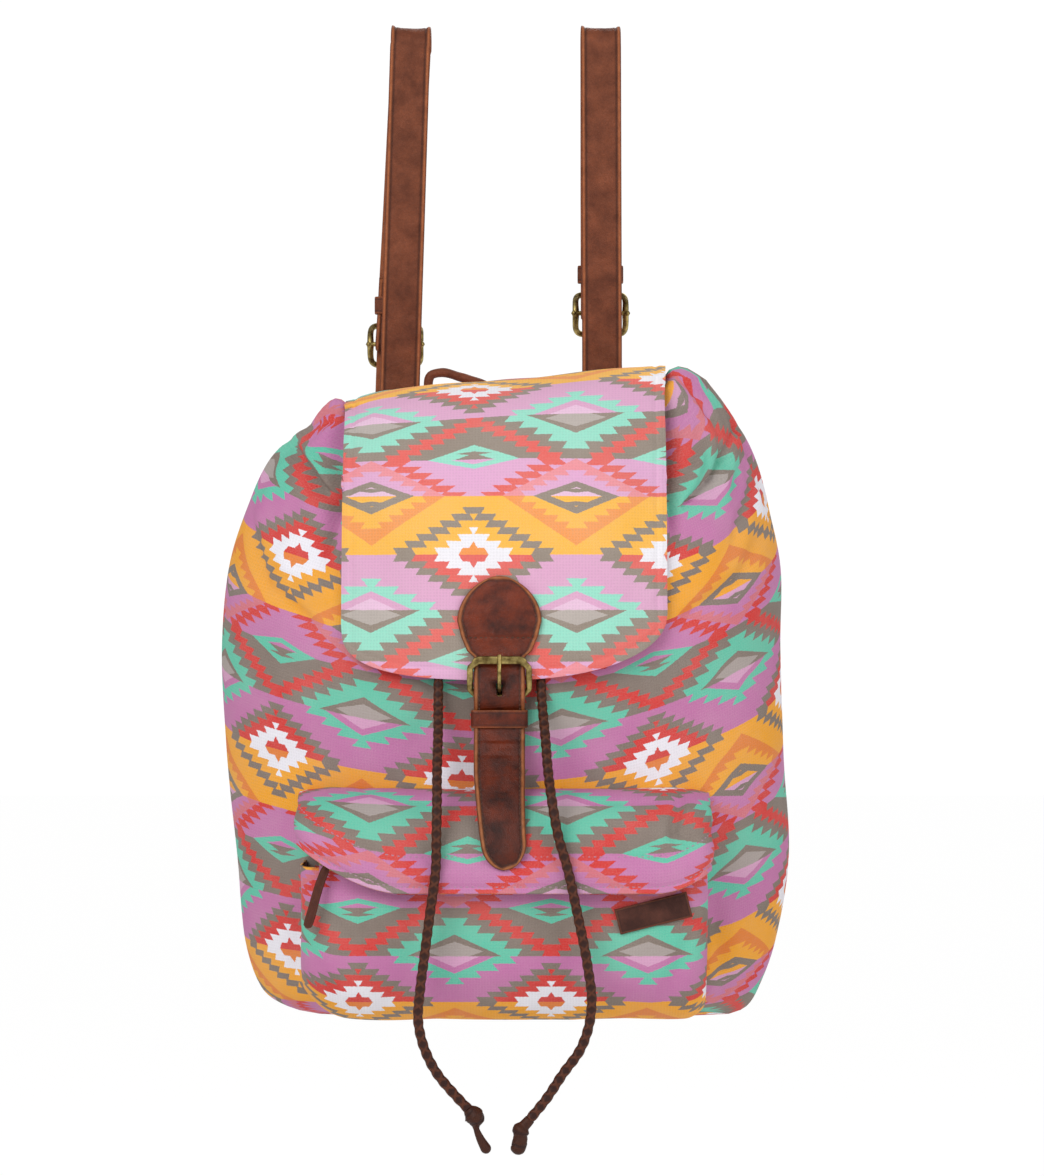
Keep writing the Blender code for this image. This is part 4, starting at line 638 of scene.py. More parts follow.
def body_grid(angles, rows_up, rows_in):
    """The body's skin: rows up its side, then rows that draw in over the shoulder to the mouth."""
    climb = np.linspace(0.0, 1.0, rows_up)
    shares = np.concatenate([np.linspace(0.0, 0.045, 8)[:-1], 0.045 + 0.93 * climb * (1.45 - 0.45 * climb)])
    side = body_rows(angles, shares, 0.030)
    wide, deep = MOUTH_WIDTH / 2, MOUTH_DEPTH / 2
    mouth_x, mouth_y = plan_section(angles, wide, wide, deep, deep)
    mouth_z = SHOULDER_Z - MOUTH_DROP - CASING_RADIUS - 0.0006
    mouth = np.stack([mouth_x, mouth_y, np.full_like(mouth_x, mouth_z)], axis=1)
    k = np.linspace(0.0, 1.0, rows_in)[1:, None, None]
    over = side[-1:] + (mouth[None] - side[-1:]) * k
    pleat = 0.6 * np.cos(BODY_GATHERS * angles + 1.1 * np.sin(3 * angles)) + 0.4 * np.cos(34 * angles + 1.0)
    over[..., 2] += (np.sin(math.pi * k[..., 0]) * (0.0032 * pleat[None] - 0.001)) * (1.0 - 0.4 * k[..., 0])
    over[..., 2] += 0.010 * np.sin(math.pi * k[..., 0]) * np.clip(1.0 - k[..., 0], 0.0, 1.0)
    grid = np.concatenate([side, over])
    x, y, z = grid[..., 0], grid[..., 1], grid[..., 2]
    high = np.clip((z - SHOULDER_Z + 0.080) / 0.060, 0.0, 1.0) ** 1.3 * bell(y, -0.062, 0.058)
    puffs = (0.0100 * bell(x, -0.106, 0.010) + 0.0085 * bell(x, 0.107, 0.014) - 0.0080 * bell(x, 0.148, 0.015)
             - 0.0070 * bell(x, 0.0925, 0.005) - 0.0070 * bell(x, -0.0915, 0.005)
             + 0.0060 * bell(x, 0.068, 0.022))
    grid[..., 2] = z + puffs * high
    ahead = np.clip(-np.sin(angles), 0.0, 1.0)[None] ** 0.7
    push = body_push(grid[..., 0], grid[..., 2]) * ahead
    centre = np.stack([grid[..., 0] * 0.25, np.full_like(push, -BACK_DEPTH), grid[..., 2]], axis=-1)
    out = grid - centre
    out[..., 2] = 0.0
    out /= np.maximum(1e-6, np.linalg.norm(out, axis=-1))[..., None]
    return grid + out * push[..., None]


def add_wall(name, grid, chart, node_name, close_columns=False):
    """A wall of the body's canvas with its thickness behind it, standing for a node."""
    wall = add_surface(name, grid, uv=chart, close_columns=close_columns)
    thick = wall.modifiers.new("cloth thickness", "SOLIDIFY")
    thick.thickness = CANVAS
    thick.offset = -1.0
    dress(wall, canvas)
    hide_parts(node_name)
    return wall


# Front and sides: angles crowd where the folds are.  The print's rows fan upwards towards both sides
# and drift round the bag, as the cloth was pulled into its gathers.
sweep_angles = np.linspace(180.0 - SEAM_ANGLE, 360.0 + SEAM_ANGLE, 2000)
crowd = 1.0 + 2.2 * bell(sweep_angles, 222.0, 20.0) + 2.2 * bell(sweep_angles, 318.0, 20.0)
around = np.radians(np.interp(np.linspace(0.0, 1.0, 380), np.cumsum(crowd) / crowd.sum(), sweep_angles))
skin = body_grid(around, 108, 14)
front_start = int(np.argmin(np.abs(around - 1.5 * math.pi)))
row_arc = np.zeros(skin.shape[:2])
smooth_skin = body_rows(around, np.linspace(0.0, 0.975, skin.shape[0]), 0.0)
row_arc[:, 1:] = np.cumsum(np.linalg.norm(np.diff(smooth_skin, axis=1), axis=2), axis=1)
row_arc -= row_arc[:, front_start:front_start + 1]
middle_row = row_arc[skin.shape[0] // 2]
up_arc = distance_along(skin[:, front_start])
front_line = np.interp(FRONT_LINE_Z, skin[:, front_start, 2], up_arc)
lift = 0.025 * (1.0 - np.cos(math.pi * np.minimum(1.0, np.abs(middle_row) / 0.30)))
share = (skin[:, front_start, 2] - HEM_Z)[:, None] / (SHOULDER_Z - HEM_Z)
fan = np.where(middle_row[None] < 0, 0.05 + 1.6 * share, 0.85 + 1.1 * share)
drift = np.where(middle_row[None] < 0, -0.0087 * np.clip((share - 0.42) * 5.5 - 0.7, -0.7, 1.0),
                 0.0110 * np.clip((share - 0.55) / 0.30, 0.0, 1.0))
drift = drift * np.clip(np.abs(middle_row) / 0.13, 0.0, 1.0)
u = (middle_row[None] + 0.026 + drift) / BODY_TILE[0]
v = (up_arc[:, None] - front_line - lift[None] * fan) / BODY_TILE[1]
add_wall("body_canvas", skin, np.stack([u, v], axis=-1), "body_front")

# Back panel: columns at even steps across it
even = np.linspace(1.0, -1.0, 120) * math.cos(math.radians(SEAM_ANGLE)) ** (2 / BACK_ROUNDNESS)
behind = np.arccos(squared_off(even, BACK_ROUNDNESS / 2))
back_skin = body_grid(behind, 90, 12)
back_skin[..., 1] = np.minimum(back_skin[..., 1], -0.0002)
back_arc = distance_along(back_skin[45])
u = np.broadcast_to((back_arc[None] - back_arc[60] + 0.040) / BODY_TILE[0], back_skin.shape[:2])
up = distance_along(back_skin[:, 60])
v = np.broadcast_to((up[:, None] - 0.150) / BODY_TILE[1], back_skin.shape[:2])
add_wall("back_panel_canvas", back_skin, np.stack([u, v], axis=-1), "body_back")

# Base: a flat oval of the same canvas, seamed in round the foot and sagging a little in the middle
whole = np.linspace(0.0, 2 * math.pi, 200, endpoint=False)
foot = body_rows(whole, [0.0], 0.030)[0]
k = np.linspace(0.02, 1.0, 24)[:, None, None]
middle = np.array([0.012, -0.060, 0.0])
sole = middle + (foot[None] - middle) * k
sole[..., 2] = BASE_Z + 0.0004 + (foot[None, :, 2] - BASE_Z - 0.0004) * k[..., 0] ** 3
chart = (sole[:, [*range(len(whole)), 0], :2] + 0.2) / BODY_TILE[0]
add_wall("base_canvas", sole, chart, "body_base", close_columns=True)

# Mouth
# The canvas is turned over into a hem tunnel that the drawcord runs through, drawn up into tight
# ruffles.  Two small brass eyelets in its front let the cord's ends out.
angles = np.linspace(0.0, 2 * math.pi, 361)[:-1]
mouth_x, mouth_y = plan_section(angles, MOUTH_WIDTH / 2, MOUTH_WIDTH / 2, MOUTH_DEPTH / 2, MOUTH_DEPTH / 2)
ruffle = 0.5 * np.cos(34 * angles + 0.8 * np.sin(5 * angles)) + 0.3 * np.cos(21 * angles + 1.0)
middle = np.stack([mouth_x, mouth_y, np.full_like(mouth_x, SHOULDER_Z - MOUTH_DROP)], axis=1)
turn = np.linspace(0.0, 2 * math.pi, 24, endpoint=False)[None]
radius = CASING_RADIUS * (0.96 + 0.14 * ruffle[:, None] * np.maximum(0.0, np.cos(turn - 0.6)))
grid = sweep(middle, radius * np.cos(turn), radius * np.sin(turn), np.array([0.0, 0.0, 1.0]), closed=True)
chart = np.stack(np.broadcast_arrays(np.linspace(0.0, 3.1, 361)[:, None], np.linspace(0.0, 0.36, 25)[None]),
                 axis=-1)
tunnel = add_surface("mouth_tunnel", grid, uv=chart, close_rows=True, close_columns=True)
dress(tunnel, canvas)
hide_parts("mouth_casing")


# Flap
# Two layers of the same canvas sewn face to face, turned and topstitched 6 mm from the edge.  It is sewn
# across the back, folds over the mouth and hangs down the front; its side faces the light more, so the
# print looks paler here.
FLAP_WIDTH = 0.193
FLAP_THICKNESS = 0.0016
FLAP_CORNERS = ((-1, 0.033, 2.9), (1, 0.039, 2.1))
FLAP_SIDE = ((-0.0085, 0.0330), (-0.0085, 0.0140), (-0.0080, 0.0080), (0.030, -0.0010), (0.110, -0.0030),
             (0.285, -0.0015), (0.538, 0.0015), (0.775, 0.0170), (0.905, 0.0440), (0.985, 0.0830),
             (1.019, 0.1250), (1.040, 0.1650), (1.042, 0.1810))
FLAP_TOPSTITCH = 0.0060
FLAP_TILE = 0.121
FLAP_LINE_Z = -0.335
flap_side = smooth_path([(-share * BAG_DEPTH, SHOULDER_Z - drop) for share, drop in FLAP_SIDE], 0.0012)
flap_arc = distance_along(flap_side)
FLAP_CREASES = np.array((
    (-92, -262, -40, -250, 6.0, -0.9), (-88, -300, -62, -376, 9.0, -1.0), (60, -262, 92, -290, 7.0, -1.0),
    (84, -300, 74, -372, 9.0, -1.1), (-30, -318, -14, -344, 8.0, -0.7), (26, -316, 16, -342, 8.0, -0.7),
    (-60, -240, -10, -236, 6.0, 0.9), (20, -236, 70, -232, 6.0, 0.9), (-40, -396, -70, -372, 7.0, 0.8),
    (46, -396, 72, -366, 7.0, 0.8))) / 1000.0


def flap_point(across, arc):
    """Middle surface of the flap: the side view at a distance along it, pushed back or forward to
    follow the body's plan at that height, raised a little towards the right at the crest, and drawn in
    to the shoulder towards both side edges."""
    y = np.interp(arc, flap_arc, flap_side[:, 0])
    z = np.interp(arc, flap_arc, flap_side[:, 1])
    x = across * FLAP_WIDTH / 2 * (1.0 + 0.032 * np.clip((y + 0.13) / 0.08, 0.0, 1.0))
    behind = np.clip((y + BACK_DEPTH) / BACK_DEPTH, 0.0, 1.0)
    ahead = np.clip((-BACK_DEPTH - y) / (0.6 * BAG_DEPTH), 0.0, 1.0)
    seat_z = np.minimum(z, SHOULDER_Z - 0.040)
    seat = (skin_y(x, seat_z, 1) - skin_y(0.0 * x, seat_z, 1)) * behind
    wide = np.maximum(np.abs(x), 0.045)
    drape = (skin_y(wide, z, -1) - skin_y(0.0 * x + 0.045, z, -1)) * ahead
    crest = np.clip(1.0 - (SHOULDER_Z - z) / 0.070, 0.0, 1.0) ** 1.5
    crest = crest * np.where(x > 0, np.clip(-y / 0.045, 0.0, 1.0), 1.0)
    corner = 0.0050 * np.clip((-x - 0.070) / 0.0265, 0.0, 1.0) ** 2
    near = np.clip((-0.075 - y) / 0.030, 0.0, 1.0)
    edge = np.clip((np.abs(x) - 0.048) / 0.0475, 0.0, 1.0) ** 1.6
    gap = np.clip(skin_y(x, z, -1) - 0.0045 - (y + drape), 0.0, 0.014)
    return np.stack([x, y + seat + drape + gap * near * edge, z + (0.09 * x - corner) * crest], axis=-1)


def flap_reach(across):
    """How far down the side view each column runs: corners cut by 1 - (1 - |across|^p)^(1/p)."""
    reach = np.full_like(across, flap_arc[-1])
    for side, corner, power in FLAP_CORNERS:
        trim = corner * (1.0 - (1.0 - np.minimum(1.0, np.abs(across)) ** power) ** (1.0 / power))
        reach -= np.where(np.sign(across) == side, trim, 0.0)
    return reach


def surface_normals(grid):
    """Unit normals of a grid of points: the cross product of its row and column differences."""
    normal = np.cross(np.gradient(grid, axis=0), np.gradient(grid, axis=1))
    return normal / np.maximum(1e-12, np.linalg.norm(normal, axis=-1))[..., None]


def add_stitches(name, path, out, thread, step, share=0.62, sink=0.35):
    """A run of stitches: along a path, one short thread per step, each a six-sided capsule that is
    share of the step long, bowed out by half its thickness and sunk by a share of it."""
    gap = distance_along(path)
    count = max(1, int(gap[-1] / step))
    starts = (np.arange(count) + 0.5 * (1 - share)) * gap[-1] / count
    t = np.array([0.0, 0.06, 0.25, 0.5, 0.75, 0.94, 1.0])
    size = np.array([0.0, 0.62, 1.0, 1.0, 1.0, 0.62, 0.0]) * thread / 2
    bow = np.sin(math.pi * t) * thread * 0.45 - thread * sink
    along = starts[:, None] + t[None] * step * share
    centre = np.stack([np.interp(along, gap, path[:, k]) for k in range(3)], axis=-1)
    normal = np.stack([np.interp(along, gap, out[:, k]) for k in range(3)], axis=-1)
    normal /= np.linalg.norm(normal, axis=-1)[..., None]
    ahead = centre[:, -1:] - centre[:, :1]
    ahead = ahead / np.linalg.norm(ahead, axis=-1)[..., None]
    side = np.cross(ahead, normal)
    side /= np.linalg.norm(side, axis=-1)[..., None]
    turn = np.linspace(0.0, 2 * math.pi, 6, endpoint=False)
    ring = (np.cos(turn)[:, None] * side[:, :, None, :] + np.sin(turn)[:, None] * normal[:, :, None, :])
    points = (centre[:, :, None] + bow[None, :, None, None] * normal[:, :, None]
              + size[None, :, None, None] * ring)
    rows, sides = len(t), len(turn)
    r, c = np.meshgrid(np.arange(rows - 1), np.arange(sides), indexing="ij")
    quad = np.stack([r * sides + c, r * sides + (c + 1) % sides, (r + 1) * sides + (c + 1) % sides,
                     (r + 1) * sides + c], axis=-1).reshape(-1, 4)
    faces = (quad[None] + np.arange(count)[:, None, None] * rows * sides).reshape(-1, 4)
    mesh = bpy.data.meshes.new(name)
    mesh.from_pydata(points.reshape(-1, 3).tolist(), [], faces.tolist())
    work = bmesh.new()
    work.from_mesh(mesh)
    bmesh.ops.remove_doubles(work, verts=work.verts, dist=0.000002)
    bmesh.ops.dissolve_degenerate(work, edges=work.edges, dist=0.0000005)
    bmesh.ops.recalc_face_normals(work, faces=work.faces)
    for face in work.faces:
        face.smooth = True
    work.to_mesh(mesh)
    work.free()
    obj = bpy.data.objects.new(name, mesh)
    bpy.context.scene.collection.objects.link(obj)
    return obj


def sewing_thread(name, code):
    """Spun polyester thread of two plies: a fine twist shows as light and dark across each stitch."""
    thread, tree, shader, place = new_material(name)
    twist = node(tree, "TexNoise", links={"Vector": place, "Scale": 900.0, "Detail": 2.0})
    dark = tuple(0.55 * k for k in srgb(code)[:3]) + (1.0,)
    tint = node(tree, "Mix", {"data_type": "RGBA"}, {0: twist, 6: dark, 7: srgb(code)})
    tree.links.new(tint.outputs[2], shader.inputs["Base Color"])
    bump = node(tree, "Bump", links={"Height": twist, "Strength": 0.4, "Distance": 0.0002})
    tree.links.new(bump.outputs[0], shader.inputs["Normal"])
    shader.inputs["Roughness"].default_value = 0.75
    return thread


pink_thread = sewing_thread("dusty pink sewing thread", "#C9A0B8")

across = np.concatenate([np.linspace(-1.0, -0.93, 10)[:-1], np.linspace(-0.93, 0.93, 130),
                         np.linspace(0.93, 1.0, 10)[1:]])
down = np.concatenate([np.linspace(0.0, 0.955, 190)[:-1], np.linspace(0.955, 1.0, 14)])
arc = down[:, None] * flap_reach(across)[None]
flap_skin = flap_point(np.broadcast_to(across[None], arc.shape), arc)
seam_y = flap_side[0, 0]
flap_skin[0, :, 1] = np.maximum(flap_skin[0, :, 1], seam_y - 0.004)
edge = np.minimum((1.0 - np.abs(across))[None] * FLAP_WIDTH / 2, (1.0 - down)[:, None] * flap_arc[-1])
normal = surface_normals(flap_skin)
normal *= np.where(normal[95, 60, 1] < 0, 1.0, -1.0)
ahead = np.clip((-BACK_DEPTH - flap_skin[..., 1]) / 0.06, 0.0, 1.0)
pucker = 0.5 + 0.5 * np.cos(2 * math.pi * (arc + 0.3 * flap_skin[..., 0]) / 0.0118)
push = (-0.00055 * bell(edge, FLAP_TOPSTITCH, 0.0013) + 0.0003 * bell(edge, 0.0030, 0.0018)
        + 0.00022 * pucker * bell(edge, 0.0085, 0.004)
        + lines(flap_skin[..., 0], flap_skin[..., 2], FLAP_CREASES) * ahead
        + 0.0009 * np.sin(flap_skin[..., 0] * 61.0 + 1.0) * np.sin(arc * 38.0 + 0.4))
flap_skin = flap_skin + normal * (push + FLAP_THICKNESS / 2)[..., None]
front_arc = float(np.interp(-FLAP_LINE_Z, -flap_side[40:, 1], flap_arc[40:]))
u = (np.broadcast_to(across[None] * FLAP_WIDTH / 2, arc.shape) + 0.0172) / FLAP_TILE
v = (arc - front_arc) / FLAP_TILE
flap_canvas = print_canvas("printed cotton canvas, flap, painted paler", FLAP_INKS_PAINTED_PALER)
flap = add_surface("flap_canvas", flap_skin, uv=np.stack([u, v], axis=-1))
wall = flap.modifiers.new("two layers", "SOLIDIFY")
wall.thickness = FLAP_THICKNESS
wall.offset = -1.0
wall.use_even_offset = True
rounding = flap.modifiers.new("turned edge", "BEVEL")
rounding.width = 0.0006
rounding.segments = 2
rounding.limit_method = "ANGLE"
rounding.angle_limit = math.radians(60)
dress(flap, flap_canvas)
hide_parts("flap")

# Front pocket
# A pouch of the same canvas with a boxed edge, a narrow panel above its zip and a hood over both.
# The hood is turned under at its lower edge and topstitched twice; its ends are caught in the side seams.
POCKET_WIDTH = 0.2385
POCKET_Y = -0.189
HOOD_Y = -0.2005
POCKET_TOP_Z = -0.472
ZIP_Z = -0.5095
HOOD_LENGTH = 0.058
POCKET_TILE = 0.112
HOOD_ROWS = {"upper": 0.0215, "lower": 0.0040}


def pocket_wall(levels, half, face_y, square):
    """Wall of the pocket: x and stand-out follow |x / half|^p + out^p = 1 and stand-out also falls by
    each level's share; the wall runs from the body's skin to the face by that stand-out."""
    t = np.linspace(math.pi, 0.0, 210)
    c, s = np.cos(t), np.sin(t)
    x = half * squared_off(c, 2 / square)
    out = np.abs(s) ** (2 / square)
    z, share = levels(x)
    x = np.broadcast_to(x[None], z.shape)
    skin = body_front_y(x, z) - 0.0004
    return np.stack([x, skin + (face_y - skin) * out[None] * share, z], axis=-1), out


def pouch_levels(x):
    """Pouch: heights from the zip down, share (1 - p^2.1)^0.5 over the lower part p,
    the left lower corner cut rounder than the right and the foot curled up to its seam."""
    q = np.concatenate([np.linspace(0.0, 0.8, 46)[:-1], 1.0 - 0.2 * np.linspace(1.0, 0.0, 44) ** 2])[:, None]
    left = 0.019 * np.clip((-x - 0.090) / 0.029, 0.0, 1.0) ** 2.2
    right = 0.007 * np.clip((x - 0.106) / 0.013, 0.0, 1.0) ** 2
    top, bottom = ZIP_Z - 0.0065, (BASE_Z + 0.0048 + left + right)[None]
    under = np.clip((q - 0.44) / 0.56, 0.0, 1.0)
    curl = 0.0090 * np.clip((q - 0.92) / 0.08, 0.0, 1.0) ** 2
    return top - (top - bottom) * q + curl, (1.0 - under ** 2.1) ** 0.5 + 0.0 * x[None]


def panel_levels(x):
    """Panel above the zip: up to just under the hood's seam, with share (1 - q^2.5)^0.5."""
    q = np.linspace(0.0, 1.0, 24)[:, None]
    low, high = ZIP_Z + 0.0065, POCKET_TOP_Z - 0.008
    return low + (high - low) * q + 0.0 * x[None], (1.0 - q ** 2.5) ** 0.5 + 0.0 * x[None]


def hood_edge(x):
    """Height of the hood's lower edge: level, lifted in a square curve towards both ends."""
    half = POCKET_WIDTH / 2
    left = 0.027 * np.clip((-x - 0.50 * half) / (0.50 * half), 0.0, 1.0) ** 1.7
    right = 0.012 * np.clip((x - 0.72 * half) / (0.28 * half), 0.0, 1.0) ** 2
    return POCKET_TOP_Z - HOOD_LENGTH + left + right


def hood_levels(x):
    """Hood: from its lower edge up to its seam on the body, with share (1 - q^2.6)^0.385."""
    q = np.concatenate([np.linspace(0.0, 0.8, 60)[:-1], 1.0 - 0.2 * np.linspace(1.0, 0.0, 34) ** 2])[:, None]
    low = hood_edge(x)[None]
    high = POCKET_TOP_Z - 0.0035 * np.clip((np.abs(x) - 0.100) / 0.020, 0.0, 1.0)[None] ** 2
    return low + (high - low) * q, (1.0 - np.minimum(q, 1.0) ** 2.6) ** 0.385 + 0.0 * x[None]


def front_push(grid, amount):
    """Move a wall's points out along their own normals, towards the front."""
    normal = surface_normals(grid)
    normal *= -np.sign(normal[grid.shape[0] // 2, grid.shape[1] // 2, 1])
    return grid + normal * amount[..., None]


def cloth_chart(grid, u_start, u_tile, level, v_level, v_tile, upside_down):
    """Pattern tiles over a wall: u by the distance along its middle row, v by the distance up or
    down its middle column from the height where the pattern's line v_level lies."""
    row = grid[grid.shape[0] // 3]
    along = distance_along(row)
    along = along - np.interp(0.0, row[:, 0], along)
    column = grid[:, grid.shape[1] // 2]
    up = distance_along(column)
    if column[-1, 2] < column[0, 2]:
        up = up[-1] - up
    order = np.argsort(column[:, 2])
    up = up - np.interp(level, column[order, 2], up[order])
    v = v_level + (up if upside_down else -up) / v_tile
    return np.stack(np.broadcast_arrays((along[None] - u_start) / u_tile, v[:, None]), axis=-1)


half = POCKET_WIDTH / 2
pouch, out = pocket_wall(pouch_levels, half, POCKET_Y, 9.0)
POUCH_CREASES = np.array((
    (-112, -530, -84, -566, 5.0, -1.6), (-104, -524, -60, -532, 4.0, -1.0),
    (-116, -556, -96, -600, 5.0, -1.4), (112, -540, 96, -592, 5.0, -1.4), (116, -520, 60, -534, 4.5, -1.0),
    (-70, -592, -20, -586, 7.0, -0.9), (20, -588, 76, -594, 7.0, -0.9), (-96, -548, -70, -590, 6.0, 0.9),
    (98, -556, 84, -594, 6.0, 0.9))) / 1000.0
x, z = pouch[..., 0], pouch[..., 2]
push = (lines(x, z, POUCH_CREASES) + 0.0008 * np.sin(x * 70.0 + 0.5) * np.sin(z * 90.0)) * out[None] ** 2
pouch = front_push(pouch, push)
chart = cloth_chart(pouch, 0.0282, POCKET_TILE, -0.5666, 0.27, POCKET_TILE, True)
add_wall("pocket_pouch_canvas", pouch, chart, "pocket_pouch")

panel, out = pocket_wall(panel_levels, half, POCKET_Y, 9.0)
chart = cloth_chart(panel, 0.0284, POCKET_TILE, -0.48, 0.20, POCKET_TILE, False)
add_wall("pocket_top_canvas", panel, chart, "pocket_top")

hood, out = pocket_wall(hood_levels, half + 0.0020, HOOD_Y, 10.0)
HOOD_CREASES = np.array((
    (103, -476, 96, -498, 3.2, -3.2), (97, -494, 104, -506, 3.0, -2.0), (108, -480, 114, -505, 4.0, 1.4),
    (-112, -478, -106, -500, 3.5, -1.6), (-100, -486, -72, -500, 4.5, -1.0),
    (-60, -482, -20, -478, 4.5, -0.7), (-96, -508, -110, -496, 4.0, 1.2), (30, -480, 84, -478, 4.5, -0.8),
    (50, -494, 92, -500, 6.0, -0.7))) / 1000.0
x, z = hood[..., 0], hood[..., 2]
rise = z - hood_edge(x)
pucker = np.cos(2 * math.pi * x / 0.0105) * 0.5 + 0.5 * np.cos(2 * math.pi * x / 0.0163 + 1.0)
push = (lines(x, z, HOOD_CREASES) * out[None] ** 2 - 0.0004 * bell(rise, HOOD_ROWS["upper"], 0.0016)
        + 0.0014 * bell(rise, 0.0120, 0.0060) + 0.0007 * bell(rise, 0.0290, 0.0050)
        - 0.0008 * bell(rise, HOOD_ROWS["lower"], 0.0012)
        + 0.00030 * pucker * bell(rise, HOOD_ROWS["upper"], 0.006)
        - 0.0006 * bell(rise, 0.0520, 0.0016))
hood = front_push(hood, push)
chart = cloth_chart(hood, -0.020, 0.1145, -0.5075, 0.52, 0.125, False)
hood_wall = add_wall("pocket_hood_canvas", hood, chart, "pocket_hood")
columns = slice(14, -14)
for label, height in HOOD_ROWS.items():
    pick = np.argmin(np.abs(rise - height), axis=0)[columns]
    line = hood[pick, np.arange(hood.shape[1])[columns]]
    step = np.linspace(0, len(line) - 1, 60)
    line = np.stack([np.interp(step, np.arange(len(line)), line[:, k]) for k in range(3)], axis=1)
    out_line = np.broadcast_to(np.array([0.0, -1.0, 0.0]), line.shape)
    row = add_stitches("hood_topstitch_" + label, line, out_line, thread=0.0007, step=0.0034)
    dress(row, pink_thread)

# The hood's cut: its width along the lower third and its height up the middle
across = distance_along(hood[hood.shape[0] // 3])[-1]
down = distance_along(hood[:, hood.shape[1] // 2])[-1]

# Buckled closure
# The flap's fastening: a round-topped tab of thick oiled leather sewn to the flap, running on as the
# billet through a cast brass frame, over its prong, under a keeper and down over the pocket's hood.
LEATHER = 0.0024
GAP = 0.0003
CLOSURE_X = -0.0027
CLOSURE_Z = -0.4182
CHAPE_THICKNESS = 0.0022
CHAPE_LOOP = 0.0043
KEEPER_THICKNESS = 0.0012
FRAME_WIRE = 0.0035
CROSS_SEAM = 0.0365
STITCH_GROOVE = 0.0031
STITCH_PITCH = 0.0031
LEATHER_THREAD = 0.0009
LEATHER_STITCH = 0.0030
# Columns across any strap, as shares of its half width: they crowd near the grooves and the edges
HALF_ACROSS = np.array([0.0, 0.2, 0.4, 0.52, 0.60, 0.66, 0.70, 0.735, 0.77, 0.80, 0.83, 0.86, 0.89,
                        0.92, 0.945, 0.965, 0.982, 0.993, 1.0])
ACROSS = np.concatenate([-HALF_ACROSS[:0:-1], HALF_ACROSS])


def strip_frame(path):
    """Level side direction, and the outward one: direction x side, along a strap's path."""
    direction = np.gradient(path, axis=0)
    direction /= np.linalg.norm(direction, axis=1)[:, None]
    side = np.array([1.0, 0.0, 0.0]) - direction * direction[:, :1]
    side /= np.linalg.norm(side, axis=1)[:, None]
    return side, np.cross(direction, side)


